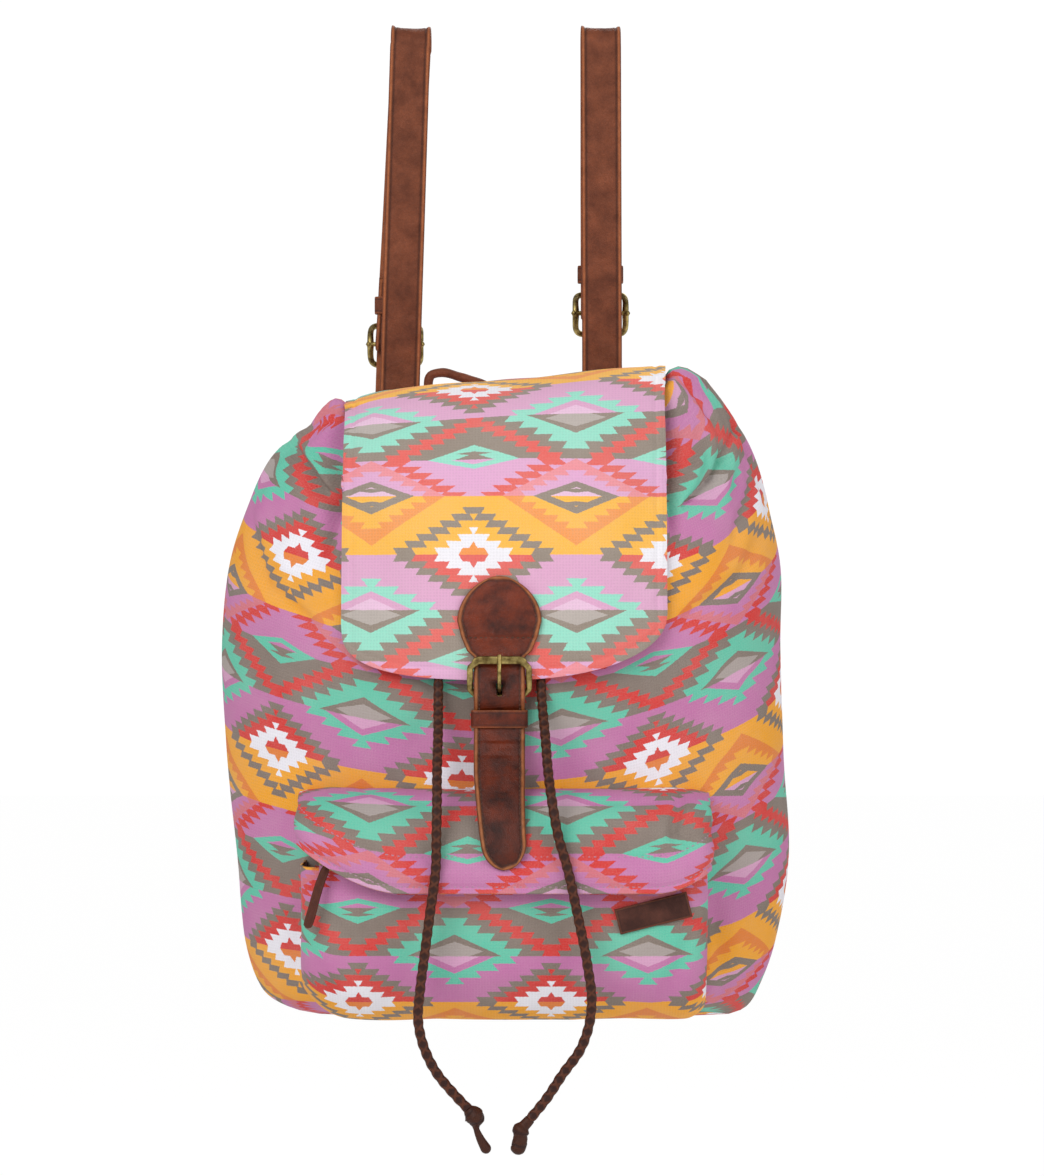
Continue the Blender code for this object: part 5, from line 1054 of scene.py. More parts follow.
def add_strip(name, path, half, thick, face=1.0, groove=STITCH_GROOVE, relief=None, ends=(True, True),
              handled=0.0, slots=(), raw=(0.0014, 0.0010)):
    """Strap of leather along a path: flat, with rounded edges of 0.9 mm, a stitch groove at a distance
    from its edge, relief added to its outer face and oblong slots, each given by its place along the
    strap, half length and half width.  Keeps three marks on its points: how much of the raw tan edge
    shows, how deep in the groove each point is and how much it is handled.  Gives back the piece, the
    lines of its two grooves with their outward directions, and the distance along it of each row."""
    s = distance_along(path)
    fine = [middle + (long + 0.0003) * np.cos(np.linspace(0.0, math.pi, 25)) for middle, long, wide in slots]
    fine = np.unique(np.concatenate([s, *fine]).clip(0.0, s[-1]))
    fine = fine[np.concatenate([[True], np.diff(fine) > 0.00004])]
    half = np.interp(fine, s, np.broadcast_to(half, (len(path),)))[:, None]
    handled = np.interp(fine, s, np.broadcast_to(handled, (len(path),)))
    path = np.stack([np.interp(fine, s, path[:, k]) for k in range(3)], axis=1)
    side, rise = strip_frame(path)
    rise = rise * face
    s = fine[:, None]
    x = ACROSS[None] + 0.0 * s
    middle = len(ACROSS) // 2
    drop = np.zeros((len(path) - 1, 2 * len(ACROSS)), bool)
    walls = []
    for place, long, wide in slots:
        near = np.abs(fine - place)
        opening = wide * np.sqrt(np.clip(1.0 - ((near - long + wide).clip(0.0) / wide) ** 2, 0.0, 1.0))
        rows = np.flatnonzero(near < long + 0.00002)
        x[rows, middle + 1] = (opening / half[:, 0])[rows]
        x[rows, middle - 1] = -x[rows, middle + 1]
        drop[rows[:-1], middle - 1:middle + 1] = True
        drop[rows[:-1], -middle - 2:-middle] = True
        left, right = (np.array([rows, 0 * rows + middle + step]) for step in (-1, 1))
        under = 2 * len(ACROSS) - 1
        for (r, c), order in ((left, (1, 0)), (right, (0, 1))):
            first, second = (r[1:], r[:-1]) if order[0] else (r[:-1], r[1:])
            walls.append(np.stack([first, c[1:], second, c[1:], second, under - c[1:], first, under - c[1:]],
                                  axis=1))
    walls = np.concatenate(walls).reshape(-1, 4, 2) if walls else None
    from_edge = (1.0 - np.abs(x)) * half
    ends_near = np.minimum(np.where(ends[0], s, 1.0), np.where(ends[1], s[-1] - s, 1.0))
    edge = np.minimum(from_edge, ends_near + 0.0 * x)
    round_over = rounded(from_edge, 0.0009)
    high = thick / 2 * round_over
    high[0] = high[-1] = 0.0
    worn = 0.00012 * np.sin(s * 410.0 + 3.0 * x) + 0.00010 * np.sin(s * 173.0 - 5.0 * x + 1.0)
    upper = high + round_over * (worn - 0.00030 * bell(edge, groove, 0.0006)
                                 + 0.00022 * bell(edge, 0.0018, 0.0008))
    if relief is not None:
        upper = upper + round_over * relief(s, x * half)
    upper[0] = upper[-1] = 0.0
    place = path[:, None] + (x * half)[..., None] * side[:, None]
    front = place + upper[..., None] * rise[:, None]
    back = place - high[..., None] * rise[:, None]
    grid = np.concatenate([front, back[:, ::-1]], axis=1)
    tan = bell(edge, *raw)
    # The groove mark becomes painted shade in the leather material: the stitch groove is darkened
    dark = bell(edge, groove, 0.0007)
    marks = {"tan": np.concatenate([tan, 0.5 + 0.0 * tan], axis=1),
             "groove": np.concatenate([dark, 0.0 * dark], axis=1),
             "handled": handled[:, None]}
    obj = add_surface(name, grid, close_columns=True, marks=marks, drop=drop, walls=walls)
    lines_at = {}
    for label, sign in (("left", -1.0), ("right", 1.0)):
        share = np.maximum(0.0, half[:, 0] - groove)
        lines_at[label] = (path + sign * share[:, None] * side + (thick / 2 - 0.0002) * rise, rise)
    return obj, lines_at, fine


def leather_skin(name, deep, fair, raw, rough, patchy=0.16, shine=0.30):
    """Oiled full-grain cowhide: it pulls paler where it bends and rubs, darker where it is handled, and its
    cut edges show raw and tan.  Its stitch grooves and pressed lines get painted shade from the groove mark.
    Pores 0.35 mm apart are drawn 0.6 mm apart so that they show."""
    hide, tree, shader, place = new_material(name)
    cloud = node(tree, "TexNoise", links={"Vector": place, "Scale": 75.0, "Detail": 5.0, "Roughness": 0.62})
    blotch = node(tree, "MapRange", links={"Value": cloud, "From Min": 0.5 - patchy,
                                           "From Max": 0.5 + patchy})
    tone = node(tree, "Mix", {"data_type": "RGBA"}, {0: blotch, 6: srgb(deep), 7: srgb(fair)})
    hands = node(tree, "Attribute", {"attribute_name": "handled"})
    soiled = node(tree, "MapRange", links={"Value": hands.outputs["Fac"], "To Min": 1.0, "To Max": 0.52})
    pores = node(tree, "TexVoronoi", {"feature": "F1"}, {"Vector": place, "Scale": 1650.0})
    speck = node(tree, "TexNoise", links={"Vector": place, "Scale": 900.0, "Detail": 4.0, "Roughness": 0.7})
    fleck = node(tree, "MapRange", links={"Value": speck, "From Min": 0.3, "From Max": 0.7,
                                          "To Min": 0.84, "To Max": 1.14})
    depth = node(tree, "Math", {"operation": "MULTIPLY"}, {0: fleck, 1: soiled})
    grainy = node(tree, "VectorMath", {"operation": "SCALE"}, {0: tone.outputs[2], "Scale": depth})
    rim = node(tree, "Attribute", {"attribute_name": "tan"})
    ragged = node(tree, "TexNoise", links={"Vector": place, "Scale": 240.0, "Detail": 3.0})
    torn = node(tree, "Math", {"operation": "MULTIPLY_ADD"}, {0: ragged, 1: 1.3, 2: 0.15})
    bare = node(tree, "Math", {"operation": "MULTIPLY", "use_clamp": True},
                {0: rim.outputs["Fac"], 1: torn})
    edged = node(tree, "Mix", {"data_type": "RGBA"}, {0: bare, 6: grainy, 7: srgb(raw)})
    # Painted shade: the groove mark mixes #2A130D into the stitch grooves, up to 0.62
    sunk = node(tree, "Attribute", {"attribute_name": "groove"})
    shade = node(tree, "Math", {"operation": "MULTIPLY"}, {0: sunk.outputs["Fac"], 1: 0.62})
    done = node(tree, "Mix", {"data_type": "RGBA"}, {0: shade, 6: edged.outputs[2], 7: srgb("#2A130D")})
    tree.links.new(done.outputs[2], shader.inputs["Base Color"])
    rub = node(tree, "MapRange", links={"Value": cloud, "From Min": 0.3, "From Max": 0.7,
                                        "To Min": rough + 0.12, "To Max": rough - 0.06})
    tree.links.new(rub.outputs[0], shader.inputs["Roughness"])
    relief = node(tree, "Math", {"operation": "MULTIPLY_ADD"}, {0: speck, 1: 0.8, 2: pores})
    pull = node(tree, "TexNoise", links={"Vector": place, "Scale": 130.0, "Detail": 2.0, "Distortion": 0.8})
    relief = node(tree, "Math", {"operation": "MULTIPLY_ADD"}, {0: pull, 1: 3.2, 2: relief})
    bump = node(tree, "Bump", links={"Height": relief, "Strength": 0.42, "Distance": 0.0005})
    tree.links.new(bump.outputs[0], shader.inputs["Normal"])
    shader.inputs["Specular IOR Level"].default_value = shine
    return hide


tab_leather = leather_skin("oiled cowhide, tab and billet", "#340E03", "#74290A", "#AC683A", 0.34, shine=0.30)
dark_thread = sewing_thread("waxed brown thread", "#5A3524")

# Cast brass, tumbled and left to tarnish: olive brown in its hollows, pale gold where it rubs
brass, tree, shader, place = new_material("antiqued cast brass")
tarnish = node(tree, "TexNoise", links={"Vector": place, "Scale": 210.0, "Detail": 5.0, "Roughness": 0.6})
ramp = node(tree, "ValToRGB", links={"Fac": tarnish})
ramp.color_ramp.elements[0].position = 0.36
ramp.color_ramp.elements[0].color = srgb("#5F4E2C")
ramp.color_ramp.elements[1].position = 0.64
ramp.color_ramp.elements[1].color = srgb("#B9A466")
tree.links.new(ramp.outputs["Color"], shader.inputs["Base Color"])
shader.inputs["Metallic"].default_value = 1.0
dull = node(tree, "MapRange", links={"Value": tarnish, "From Min": 0.3, "From Max": 0.7,
                                     "To Min": 0.52, "To Max": 0.30})
tree.links.new(dull.outputs[0], shader.inputs["Roughness"])
pits = node(tree, "TexNoise", links={"Vector": place, "Scale": 1500.0, "Detail": 2.0})
bump = node(tree, "Bump", links={"Height": pits, "Strength": 0.25, "Distance": 0.0002})
tree.links.new(bump.outputs[0], shader.inputs["Normal"])


def node_box(name):
    """The low and high corners of a node's box."""
    return (np.array(corner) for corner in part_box(name))


chape_low, chape_high = node_box("closure_chape")
leg_y = chape_high[1] - CHAPE_THICKNESS / 2
fold_y = chape_low[1] + CHAPE_THICKNESS / 2
over_y = fold_y - CHAPE_THICKNESS / 2 - GAP - LEATHER / 2
turn_y = leg_y - CHAPE_THICKNESS - 2 * GAP - KEEPER_THICKNESS
kept_y = turn_y - CHAPE_THICKNESS / 2 - 3 * GAP - LEATHER / 2
tip_y = HOOD_Y - 2 * GAP - LEATHER / 2
lift = FLAP_THICKNESS / 2 + GAP + LEATHER / 2
slope = np.gradient(flap_side, axis=0)
slope /= np.linalg.norm(slope, axis=1)[:, None]
outward = np.stack([slope[:, 1], -slope[:, 0]], axis=1)
outward *= np.where(outward[:, :1] > 0, -1.0, 1.0)
over_flap = flap_side + outward * lift
on_flap = over_flap[(over_flap[:, 1] > CLOSURE_Z + 0.026) & (over_flap[:, 1] < SHOULDER_Z - 0.119)][::5]
top_y = flap_side[-1, 0] - lift - GAP
reach = tip_y - kept_y
DRAPE = ((0.07, 0.0250), (0.24, 0.0360), (0.50, 0.0500), (0.76, 0.0635), (0.94, 0.0780), (1.0, 0.0880))
route = [*on_flap, (top_y, CLOSURE_Z + 0.0235), (top_y, CLOSURE_Z + 0.0195),
         (0.5 * (top_y + over_y), CLOSURE_Z + 0.0108), (over_y, CLOSURE_Z + 0.0030),
         (over_y, CLOSURE_Z - 0.0010), (kept_y, CLOSURE_Z - 0.0085), (kept_y, CLOSURE_Z - 0.0105),
         (kept_y, CLOSURE_Z - 0.0175),
         *[(kept_y + reach * share, CLOSURE_Z - drop) for share, drop in DRAPE], (tip_y, CLOSURE_Z - 0.0975)]
fall = smooth_path(route, 0.0007)
along = distance_along(fall)
length = along[-1]
swing = 0.0040 * np.clip((along - 0.6 * length) / (0.4 * length), 0.0, 1.0) ** 2
swing = swing + 0.0028 * np.clip((along - length + 0.020) / 0.020, 0.0, 1.0) ** 2
strap_path = np.stack([CLOSURE_X + swing, fall[:, 0], fall[:, 1]], axis=1)
# Half widths along it: round top, widest at 27 mm, neck at the frame, even billet, round tip
even = np.interp(along, [0.027, 0.036, 0.0445, 0.048, length - 0.060, length],
                 [0.02475, 0.0225, 0.0190, 0.0150, 0.0150, 0.0126])
half_width = even * rounded(along, 0.027, power=0.60) * rounded(length - along, 0.0145)
half_width = np.maximum(0.0002, half_width)
CLOSURE_CREASES = ((0.0795, 0.0014, -0.00060), (0.0830, 0.0014, 0.00055), (0.0885, 0.0013, -0.00075),
                   (0.0915, 0.0014, 0.00060), (0.0985, 0.0015, -0.00055), (0.1015, 0.0016, 0.00050),
                   (0.1085, 0.0018, -0.00045), (0.0520, 0.0013, -0.00050), (0.0550, 0.0013, 0.00045),
                   (0.0590, 0.0013, -0.00040))


def closure_relief(s, x):
    """Padded crown on the tab, cross stitching under it, and bending creases along the billet."""
    crown = 0.0011 * np.clip(1.0 - (x / 0.021) ** 2, 0.0, 1.0) * bell(s, 0.021, 0.016)
    cross = -0.00035 * bell(s, CROSS_SEAM, 0.0007)
    bent = sum(depth * bell(s + 0.08 * x * math.sin(900 * place), place, width)
               for place, width, depth in CLOSURE_CREASES)
    return crown + cross + bent * (0.75 + 0.25 * np.cos(x * 260.0))


prong_at = float(np.interp(-(CLOSURE_Z + 0.0058), -fall[:, 1], along))
# The billet is handled more than the tab, and its last 30 mm most of all
darker = (0.42 * np.clip((along - 0.045) / 0.012, 0.0, 1.0)
          + 0.48 * np.clip((along - length + 0.031) / 0.004, 0.0, 1.0))
closure, seams, along = add_strip("closure_tab_and_billet", strap_path, half_width, LEATHER,
                                  relief=closure_relief, handled=darker, slots=[(prong_at, 0.0050, 0.0018)])
dress(closure, tab_leather)
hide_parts("closure_strap")
for label, (line, rise) in seams.items():
    for part, first, last in (("tab", 0.0035, 0.040), ("billet", 0.066, length - 0.004)):
        keep = (along > first) & (along < last)
        row = add_stitches("closure_stitch_%s_%s" % (part, label), line[keep], rise[keep],
                           LEATHER_THREAD, LEATHER_STITCH)
        dress(row, dark_thread)
cross_y, cross_z = (np.interp(CROSS_SEAM, distance_along(fall), fall[:, k]) for k in (0, 1))
cross = np.stack([CLOSURE_X + np.linspace(-0.0185, 0.0185, 20), np.full(20, cross_y - LEATHER / 2),
                  np.full(20, cross_z)], axis=1)
forward = np.broadcast_to([0.0, -1.0, 0.0], cross.shape)
dress(add_stitches("closure_stitch_cross", cross, forward, LEATHER_THREAD, LEATHER_STITCH), dark_thread)

turns = np.linspace(math.pi, 0.0, 15)
chape_fold = [(leg_y - CHAPE_LOOP - CHAPE_LOOP * math.cos(t), CLOSURE_Z + CHAPE_LOOP * math.sin(t))
              for t in turns]
chape_back = [(leg_y, z) for z in np.linspace(CLOSURE_Z - 0.032, CLOSURE_Z - 0.003, 12)]
chape_front = [(fold_y * 0.8 + turn_y * 0.2, CLOSURE_Z - 0.0025),
               (fold_y * 0.3 + turn_y * 0.7, CLOSURE_Z - 0.0055),
               (turn_y, CLOSURE_Z - 0.0080), (turn_y, CLOSURE_Z - 0.018)]
chape_line = smooth_path(chape_back + chape_fold[::-1] + chape_front, 0.0009)
chape_path = np.stack([np.full(len(chape_line), CLOSURE_X), chape_line[:, 0], chape_line[:, 1]], axis=1)
chape_s = distance_along(chape_path)
over_bar = chape_s[chape_path[:, 2] > CLOSURE_Z - 0.0048]
chape, _, _ = add_strip("closure_chape_leather", chape_path, 0.0130, CHAPE_THICKNESS,
                        slots=[((over_bar[0] + over_bar[-1]) / 2, (over_bar[-1] - over_bar[0]) / 2, 0.0023)])
dress(chape, tab_leather)
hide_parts("closure_chape")


def loop_band(name, node_name, corner, band):
    """Keeper: a closed band of leather whose middle line is a rounded rectangle seen from above, as wide
    and deep as the node it stands for, with a stitch groove near both edges."""
    low, high = node_box(node_name)
    middle, size = (low + high) / 2, high - low - KEEPER_THICKNESS
    t = np.linspace(0.0, 2 * math.pi, 161)[:-1]
    c, s = np.cos(t), np.sin(t)
    wide, deep = size[0] / 2, size[1] / 2
    x = middle[0] + wide * squared_off(c, corner)
    y = middle[1] + deep * squared_off(s, corner)
    path = smooth_path(np.stack([x, y, np.full_like(x, middle[2])], axis=1)[::4], 0.0008)
    turn = np.linspace(0.0, 2 * math.pi, 40, endpoint=False)
    high = squared_off(np.sin(turn), 0.35) * band / 2
    out = squared_off(np.cos(turn), 0.35) * KEEPER_THICKNESS / 2
    edge = band / 2 - np.abs(high)
    out = out - np.where(out > 0, 0.00025 * bell(edge, 0.0018, 0.0005), 0.0)
    shape = (len(path) - 1, len(turn))
    grid = sweep(path[:-1], np.broadcast_to(out, shape), np.broadcast_to(high, shape),
                 np.array([0.0, 0.0, -1.0]), closed=True)
    # The keeper's groove mark is painted as shade by the leather material
    marks = {"tan": 0.45 * bell(edge, 0.0, 0.0009)[None], "groove": bell(edge, 0.0018, 0.0006)[None]}
    return add_surface(name, grid, close_rows=True, close_columns=True, marks=marks)


keeper = loop_band("closure_keeper_leather", "closure_keeper", 0.35, 0.0105)
dress(keeper, tab_leather)
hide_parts("closure_keeper")

# The frame: flat-faced bar bent to a rectangle with clipped corners, thicker across its top
low, high = node_box("closure_frame")
wide = (high[0] - low[0] - FRAME_WIRE) / 2
tall = high[2] - low[2] - FRAME_WIRE
clip = 0.0046
corners = np.array([(-wide + clip, 0.0), (wide - clip, 0.0), (wide, clip), (wide, tall - clip),
                    (wide - clip, tall), (-wide + clip, tall), (-wide, tall - clip), (-wide, clip)])
corners = np.concatenate([corners, corners[:1]])
shares = np.array([0.06, 0.3, 0.5, 0.7, 0.94])[:, None]
steps = np.concatenate([corners[i] + (corners[i + 1] - corners[i]) * shares for i in range(8)])
y_low, y_high = high[1] - FRAME_WIRE / 2, low[1] + FRAME_WIRE / 2
loop = np.stack([(low[0] + high[0]) / 2 + steps[:, 0], y_low + (y_high - y_low) * steps[:, 1] / tall,
                 low[2] + FRAME_WIRE / 2 + steps[:, 1]], axis=1)
turn = np.linspace(0.0, 2 * math.pi, 24, endpoint=False)
flat = squared_off(np.cos(turn), 0.55)
deep = squared_off(np.sin(turn), 0.55)
swell = 0.00180 + 0.00060 * (steps[:, 1] > tall * 0.9)
rise = np.broadcast_to(0.00155 * deep, (len(loop), len(turn)))
grid = sweep(loop, swell[:, None] * flat, rise, np.array([0.0, -1.0, 0.0]), closed=True)
frame_mesh = add_surface("closure_frame_brass", grid, close_rows=True, close_columns=True)
dress(frame_mesh, brass, body="closure_frame")
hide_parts("closure_frame")

# Shoulder straps
# Two flat straps of one thick red-brown leather: sewn in behind the flap's seam, bent over at the top
# where the bag hangs, and buckled at the back to a tail that runs down to the bottom corner.
STRAPS = {
    "left": {"top": -0.0600, "seam": -0.0682, "foot": -0.0850, "bar": (-0.0708, -0.1975),
             "seam_y": 0.00287, "foot_y": -0.00077},
    "right": {"top": 0.0605, "seam": 0.0617, "foot": 0.0850, "bar": (0.0610, -0.1776),
              "seam_y": 0.00321, "foot_y": -0.00036},
}
STRAP_WIDTH = 0.0254
TAIL_WIDTH = 0.0240
STRAP_BEND = 0.0090
BAR_Y = 0.0170
BUCKLE_BAR = 0.0030
SEAM_LOW = SHOULDER_Z - 0.023
FOOT_Z = -0.607
TAIL_HOLES = 5
HOLE_PITCH = 0.0250
BUCKLE_HALF = (0.01615, 0.01290)
strap_leather = leather_skin("oiled cowhide, shoulder straps", "#552A1A", "#87492E", "#B0673E", 0.50,
                             patchy=0.26, shine=0.22)
wrap = BUCKLE_BAR / 2 + GAP + LEATHER / 2


def strap_relief(seed, top=-1.0):
    """Faint stretch marks across the strap, a soft roll along it and stitch dimples by both edges."""
    def relief(s, x):
        """Sum of waves along the strap, bent a little across it."""
        soft = 0.00016 * np.sin(s * 61.0 + seed + x * 120.0) + 0.00010 * np.sin(s * 137.0 + 2.0 * seed)
        edge = STRAP_WIDTH / 2 - np.abs(x)
        dimple = 0.5 + 0.5 * np.cos(2 * math.pi * s / STITCH_PITCH)
        dimple = -0.00016 * bell(edge, STITCH_GROOVE, 0.0008) * dimple
        curl = 0.0017 * (np.abs(x) / (STRAP_WIDTH / 2)) ** 3 * bell(s, top, 0.007) * (1.0 - 25.0 * x)
        return soft + dimple + curl
    return relief


for side_name, place in STRAPS.items():
    bar_x, bar_z = place["bar"]
    seam_y = place["seam_y"]
    bend = STRAP_BEND + LEATHER / 2
    front = [(seam_y, SEAM_LOW), (seam_y, SEAM_LOW + 0.026), (0.4 * seam_y - 0.002, 0.837 * SHOULDER_Z),
             (-0.0045, 0.529 * SHOULDER_Z), (-0.0085, 0.220 * SHOULDER_Z), (-bend, -STRAP_BEND - 0.002)]
    turns = np.linspace(math.pi, 0.0, 13)
    arch = np.stack([bend * np.cos(turns), -STRAP_BEND + bend * np.sin(turns)], axis=1)
    rear_y = BAR_Y + wrap
    rear = [(bend, -STRAP_BEND - 0.002), (bend + 0.25 * (rear_y - bend), -0.045), (rear_y, bar_z + 0.070),
            (rear_y, bar_z + 0.035), (rear_y, bar_z + 0.004)]
    turns = np.linspace(0.0, math.pi, 13)
    fold = np.stack([BAR_Y + wrap * np.cos(turns), bar_z - wrap * np.sin(turns)], axis=1)
    inner = BAR_Y + wrap - LEATHER - GAP
    back = smooth_path([(BAR_Y - 0.75 * wrap, bar_z + 0.0045), (inner - 0.0005, bar_z + 0.0110),
                        (inner, bar_z + 0.0150), (inner, bar_z + 0.0420)], 0.002)
    runs = [smooth_path(front, 0.002), arch, smooth_path(rear, 0.002), fold, back]
    line = np.concatenate(runs)
    rear_x = [np.interp(run[:, 1], [bar_z, 0.0], [bar_x, place["top"]]) for run in (runs[2], back)]
    x = np.concatenate([np.interp(runs[0][:, 1], [SEAM_LOW, 0.0], [place["seam"], place["top"]]),
                        np.full(len(arch), place["top"]), rear_x[0], np.full(len(fold), bar_x), rear_x[1]])
    path = np.stack([x, line[:, 0], line[:, 1]], axis=1)
    keep = np.concatenate([[True], np.linalg.norm(np.diff(path, axis=0), axis=1) > 0.0004])
    path = path[keep]
    s = distance_along(path)
    round_bar = s[(path[:, 2] < bar_z + 0.0047) & (path[:, 1] > BAR_Y - 0.0060) & (s > 0.2)]
    slot = ((round_bar[0] + round_bar[-1]) / 2, (round_bar[-1] - round_bar[0]) / 2, 0.0023)
    relief = strap_relief(1.0 if side_name == "left" else 4.0, s[np.argmax(path[:, 2])])
    strap, _, _ = add_strip("strap_%s_leather" % side_name, path, STRAP_WIDTH / 2, LEATHER, face=-1.0,
                            relief=relief, ends=(False, True), slots=[slot], raw=(0.0014, 0.0007))
    dress(strap, strap_leather)
    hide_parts("strap_" + side_name)

    # Tail: its end cut round, punched with a slot for the prong and four round holes below it
    over = BAR_Y + wrap + LEATHER + GAP
    foot_y = place["foot_y"]
    tail = smooth_path([(foot_y, FOOT_Z), (foot_y + 0.0006, FOOT_Z + 0.020), (over, bar_z - 0.040),
                        (over, bar_z - 0.026), (over, bar_z + 0.062)], 0.0012)
    x = np.interp(tail[:, 1], [FOOT_Z, bar_z, 0.0], [place["foot"], bar_x, place["top"]])
    path = np.stack([x, tail[:, 0], tail[:, 1]], axis=1)
    left = distance_along(path[::-1])[::-1]
    keep = (left < 0.014) | (np.arange(len(path)) % 2 == 0)
    path, left = path[keep], left[keep]
    half = TAIL_WIDTH / 2 * rounded(left, TAIL_WIDTH / 2, least=0.0004)
    heights = [bar_z - 0.0047 - step * HOLE_PITCH for step in range(TAIL_HOLES)]
    punched = [(float(np.interp(z, path[:, 2], distance_along(path))),
                *((0.0045, 0.0020) if k == 0 else (0.0023, 0.0023)))
               for k, z in enumerate(heights)]
    tail_piece, _, _ = add_strip("strap_tail_%s_leather" % side_name, path, half, LEATHER,
                                 relief=strap_relief(2.0), ends=(False, True), slots=punched,
                                 raw=(0.0014, 0.0007))
    dress(tail_piece, strap_leather)
    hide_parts("strap_tail_" + side_name)
    keeper = loop_band("strap_keeper_%s_leather" % side_name, "strap_keeper_" + side_name, 0.30, 0.0110)
    dress(keeper, strap_leather)
    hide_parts("strap_keeper_" + side_name)

# Haul loop
# One strip of the straps' leather rolled to a cord 6 mm thick and sewn shut along it.  Both ends are
# sewn down behind the flap's seam, and the hand carries the bag by it.
HAUL = [(-0.0480, 0.0057, -0.2480), (-0.0495, 0.0057, -0.2291), (-0.0474, 0.0057, -0.2181),
        (-0.0413, 0.0057, -0.2165), (-0.0290, 0.0057, -0.2193), (-0.0133, 0.0057, -0.2245),
        (0.0024, 0.0057, -0.2338), (0.0080, 0.0057, -0.2480)]
SEAM_DEPTH = 0.00035
path = smooth_path(HAUL, 0.0012)
s = distance_along(path)[:, None]
turn = np.linspace(0.0, 2 * math.pi, 26, endpoint=False)[None]
seam = SEAM_DEPTH * bell(np.sin(turn / 2 - 0.6), 0.0, 0.10)
radius = 0.0029 + 0.00008 * np.sin(s * 520.0 + 2.0 * turn) - seam
grid = sweep(path, radius * np.cos(turn), radius * np.sin(turn), np.array([0.0, 1.0, 0.0]))
# The seam's groove mark is painted as shade; its tan mark shows the raw edges in the seam
mark = seam / SEAM_DEPTH
haul = add_surface("haul_loop_rolled", capped(path, grid), close_columns=True,
                   marks={"groove": mark, "tan": 0.25 * mark})
dress(haul, strap_leather)
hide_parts("haul_loop")

# Buckles
# Cast brass frames with a centre bar and a plain bent prong, one on each strap, left to tarnish.
# The prongs and the other small brass parts keep the form of their solids and get the same finish.
for name in ("strap_frame_left", "strap_frame_right", "strap_prong_left", "strap_prong_right",
             "closure_prong", "zip_pull", "zip_slider", "eyelet_left", "eyelet_right"):
    metal = bpy.data.objects[name]
    metal.data.materials.clear()
    metal.data.materials.append(brass)
for side_name, place in STRAPS.items():
    bar_x, bar_z = place["bar"]
    t = np.linspace(0.0, 2 * math.pi, 96, endpoint=False)
    u = BUCKLE_HALF[0] * squared_off(np.cos(t), 0.30)
    v = BUCKLE_HALF[1] * squared_off(np.sin(t), 0.30)
    ring = np.stack([bar_x + u, BAR_Y + 0.0106 * (v / BUCKLE_HALF[1]) ** 2, bar_z + v], axis=1)
    ring = smooth_path(np.concatenate([ring[::2], ring[:1]]), 0.0010)[:-1]
    turn = np.linspace(0.0, 2 * math.pi, 18, endpoint=False)[None]
    fat = 0.00190 + 0.00045 * bell(np.abs(ring[:, 2:] - bar_z), 0.0, 0.0050) * (np.cos(turn) > 0)
    rise = np.broadcast_to(0.0016 * np.sin(turn), fat.shape)
    grid = sweep(ring, fat * np.cos(turn), rise, np.array([0.0, 1.0, 0.0]), closed=True)
    ring_piece = add_surface("strap_frame_%s_ring" % side_name, grid, close_rows=True, close_columns=True)
    dress(ring_piece, brass, body="strap_frame_" + side_name)
    span = np.linspace(-1.0, 1.0, 41)
    bar_path = np.stack([bar_x + 0.01900 * span, np.full(41, BAR_Y), np.full(41, bar_z)], axis=1)
    thick = 0.00150 + 0.00070 * bell(np.abs(span), 0.90, 0.05)
    radius = (thick * rounded(1.0 - np.abs(span), 0.05))[:, None]
    bar = sweep(bar_path, radius * np.cos(turn), radius * np.sin(turn), np.array([0.0, 0.0, 1.0]))
    bar_piece = add_surface("strap_frame_%s_bar" % side_name, bar, close_columns=True)
    dress(bar_piece, brass, body="strap_frame_" + side_name)
    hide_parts("strap_frame_" + side_name)
    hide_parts("strap_frame_" + side_name)

# Zip
# Coil zip sewn in under the hood: pink woven tapes, one nylon coil, a brass slider and a wire ring
# with a dark leather thong for the hand.
tape, tree, shader, place = new_material("woven zip tape")
twill = node(tree, "TexWave", {"bands_direction": "DIAGONAL"}, {"Vector": place, "Scale": 330.0})
bump = node(tree, "Bump", links={"Height": twill.outputs["Fac"], "Strength": 0.4, "Distance": 0.0003})
tree.links.new(bump.outputs[0], shader.inputs["Normal"])
shader.inputs["Base Color"].default_value = srgb("#CE88B2")
shader.inputs["Roughness"].default_value = 0.85
for name in ("zip_tape_upper", "zip_tape_lower"):
    cloth_piece = bpy.data.objects[name]
    cloth_piece.data.materials.clear()
    cloth_piece.data.materials.append(tape)

nylon, tree, shader, place = new_material("dyed nylon coil")
shader.inputs["Base Color"].default_value = srgb("#C97FAD")
shader.inputs["Roughness"].default_value = 0.38
low, high = node_box("zip_coil")
COIL_PITCH = 0.0026
turns_count = (high[0] - low[0]) / COIL_PITCH
t = np.linspace(0.0, 2 * math.pi * turns_count, int(turns_count * 16))
wire = 0.00048
middle = (low + high) / 2
coil_y = (high[1] - low[1]) / 2 - wire
coil_z = (high[2] - low[2]) / 2 - wire
path = np.stack([np.linspace(low[0] + 0.0005, high[0] - 0.0005, len(t)), middle[1] + coil_y * np.cos(t),
                 middle[2] + coil_z * squared_off(np.sin(t), 0.7)], axis=1)
turn = np.linspace(0.0, 2 * math.pi, 6, endpoint=False)
profile = [np.broadcast_to(wire * wave, (len(path), len(turn))) for wave in (np.cos(turn), np.sin(turn))]
coil = add_surface("zip_coil_wound", sweep(path, *profile, np.array([1.0, 0.0, 0.0])), close_columns=True)
dress(coil, nylon)
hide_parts("zip_coil")

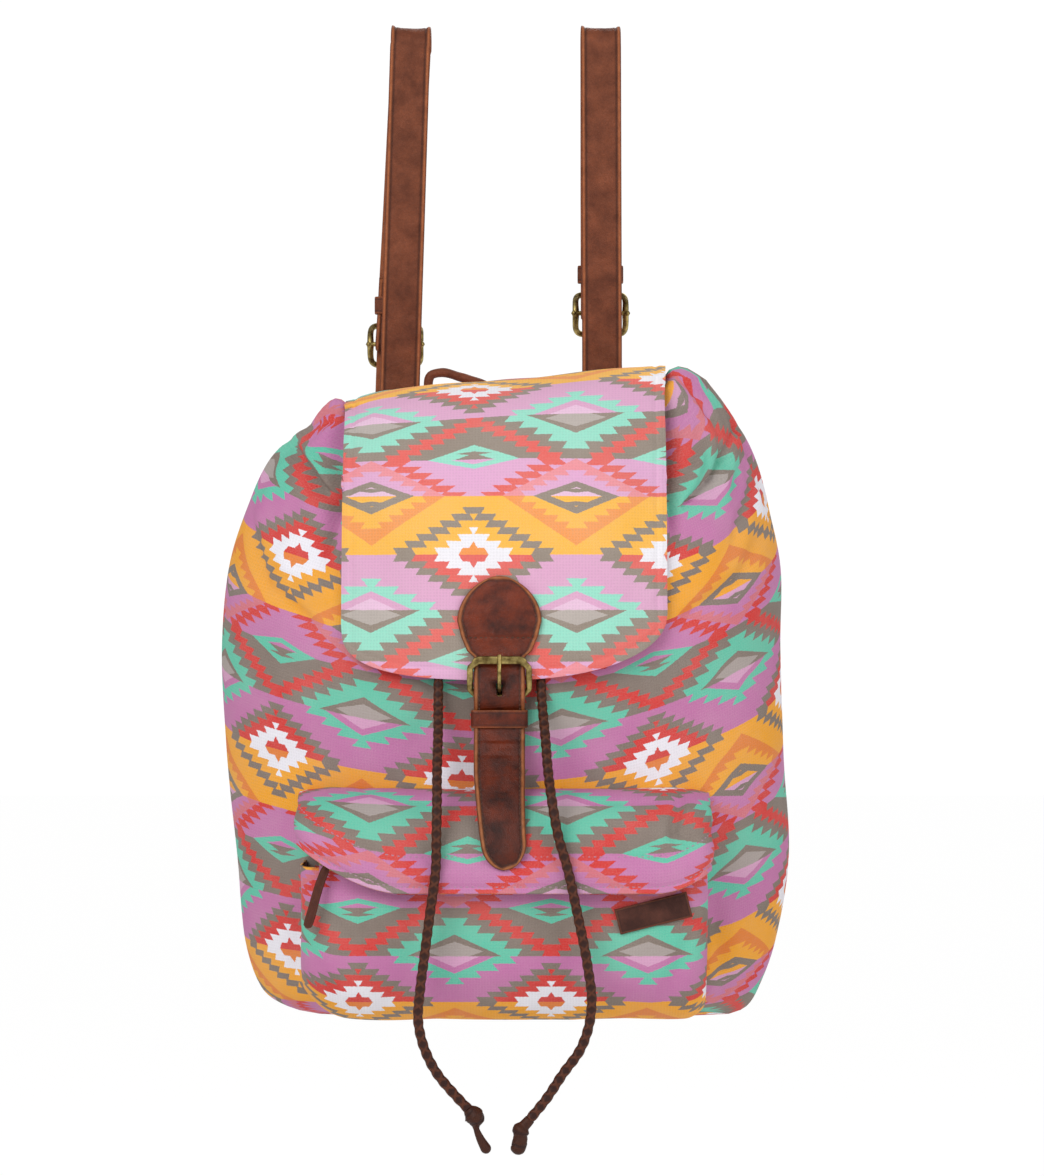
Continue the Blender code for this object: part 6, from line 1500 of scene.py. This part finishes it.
# Zip thong
# Thong of dark leather, skived thin, looped through the slider's ring and pressed flat for the
# fingers.  It hangs a little aslant.
turn = np.linspace(0.0, 1.0, 60)
lean = math.radians(19.0)
thong_top = np.array([-0.1015, -0.1937, -0.5142])
half = 0.0029 * np.interp(turn, [0.0, 0.04, 0.12, 0.5, 0.90, 0.97, 1.0],
                          [0.10, 0.62, 0.88, 0.92, 0.97, 0.85, 0.25])
length = 0.0395
line = thong_top + np.stack([-np.sin(lean) * turn * length - 0.0006 * np.sin(turn * 5.0),
                             0.0 * turn, 0.0012 - np.cos(lean) * turn * length], axis=1)
thong, _, _ = add_strip("zip_thong_leather", line[::-1], half[::-1], 0.0018, face=-1.0, groove=0.0015)
dress(thong, leather_skin("dark thong leather", "#341209", "#4F2013", "#6E331E", 0.5), body="zip_pull")
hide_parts("zip_thong")

# Leather patch
# Bare patch of the same cowhide, 43 by 15 mm, with a pressed line round its edge.  It is sewn flat on
# the pouch under the hood's right end, a little tilted.
tilt = math.radians(14.0)
PATCH_HALF = (0.0215, 0.0075)
span = np.linspace(-PATCH_HALF[0], PATCH_HALF[0], 60)
middle = np.array([0.0865, -0.1901, -0.5420])
line = middle + np.stack([span * math.cos(tilt), 0.0 * span, span * math.sin(tilt)], axis=1)
patch_leather = leather_skin("oiled cowhide, patch", "#3B1A11", "#582D20", "#74402A", 0.55)


def patch_surface(name):
    """Flat plate 43 by 15 mm seen from the front: rows along the tilt, columns up it."""
    up = np.array([-math.sin(tilt), 0.0, math.cos(tilt)])
    v = np.linspace(-1.0, 1.0, 23)
    x_edge = (PATCH_HALF[0] - np.abs(span))[:, None] + 0.0 * v
    v_edge = (PATCH_HALF[1] * (1.0 - np.abs(v)))[None] + 0.0 * span[:, None]
    edge = np.minimum(x_edge, v_edge)
    high = 0.0006 * rounded(edge, 0.0006)
    front = high - 0.00022 * bell(edge, 0.0016, 0.0004)
    wave = 0.0002 * np.sin(span * 190.0)[:, None]
    flat = line[:, None] + up * (PATCH_HALF[1] * v)[None, :, None]
    front_grid = flat - np.array([0.0, 1.0, 0.0]) * (front + wave)[..., None]
    back_grid = flat + np.array([0.0, 1.0, 0.0]) * (high * 0.8)[..., None]
    grid = np.concatenate([front_grid, back_grid[:, ::-1]], axis=1)
    mark = bell(edge, 0.0005, 0.0005)
    # The pressed line's groove mark is painted as shade by the leather material
    deep = bell(edge, 0.0016, 0.0004)
    marks = {"tan": np.concatenate([mark, 0.0 * mark], axis=1),
             "groove": np.concatenate([deep, 0.0 * deep], axis=1)}
    return add_surface(name, grid, close_columns=True, marks=marks)


patch = patch_surface("patch_leather_bare")
dress(patch, patch_leather)
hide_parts("leather_patch")
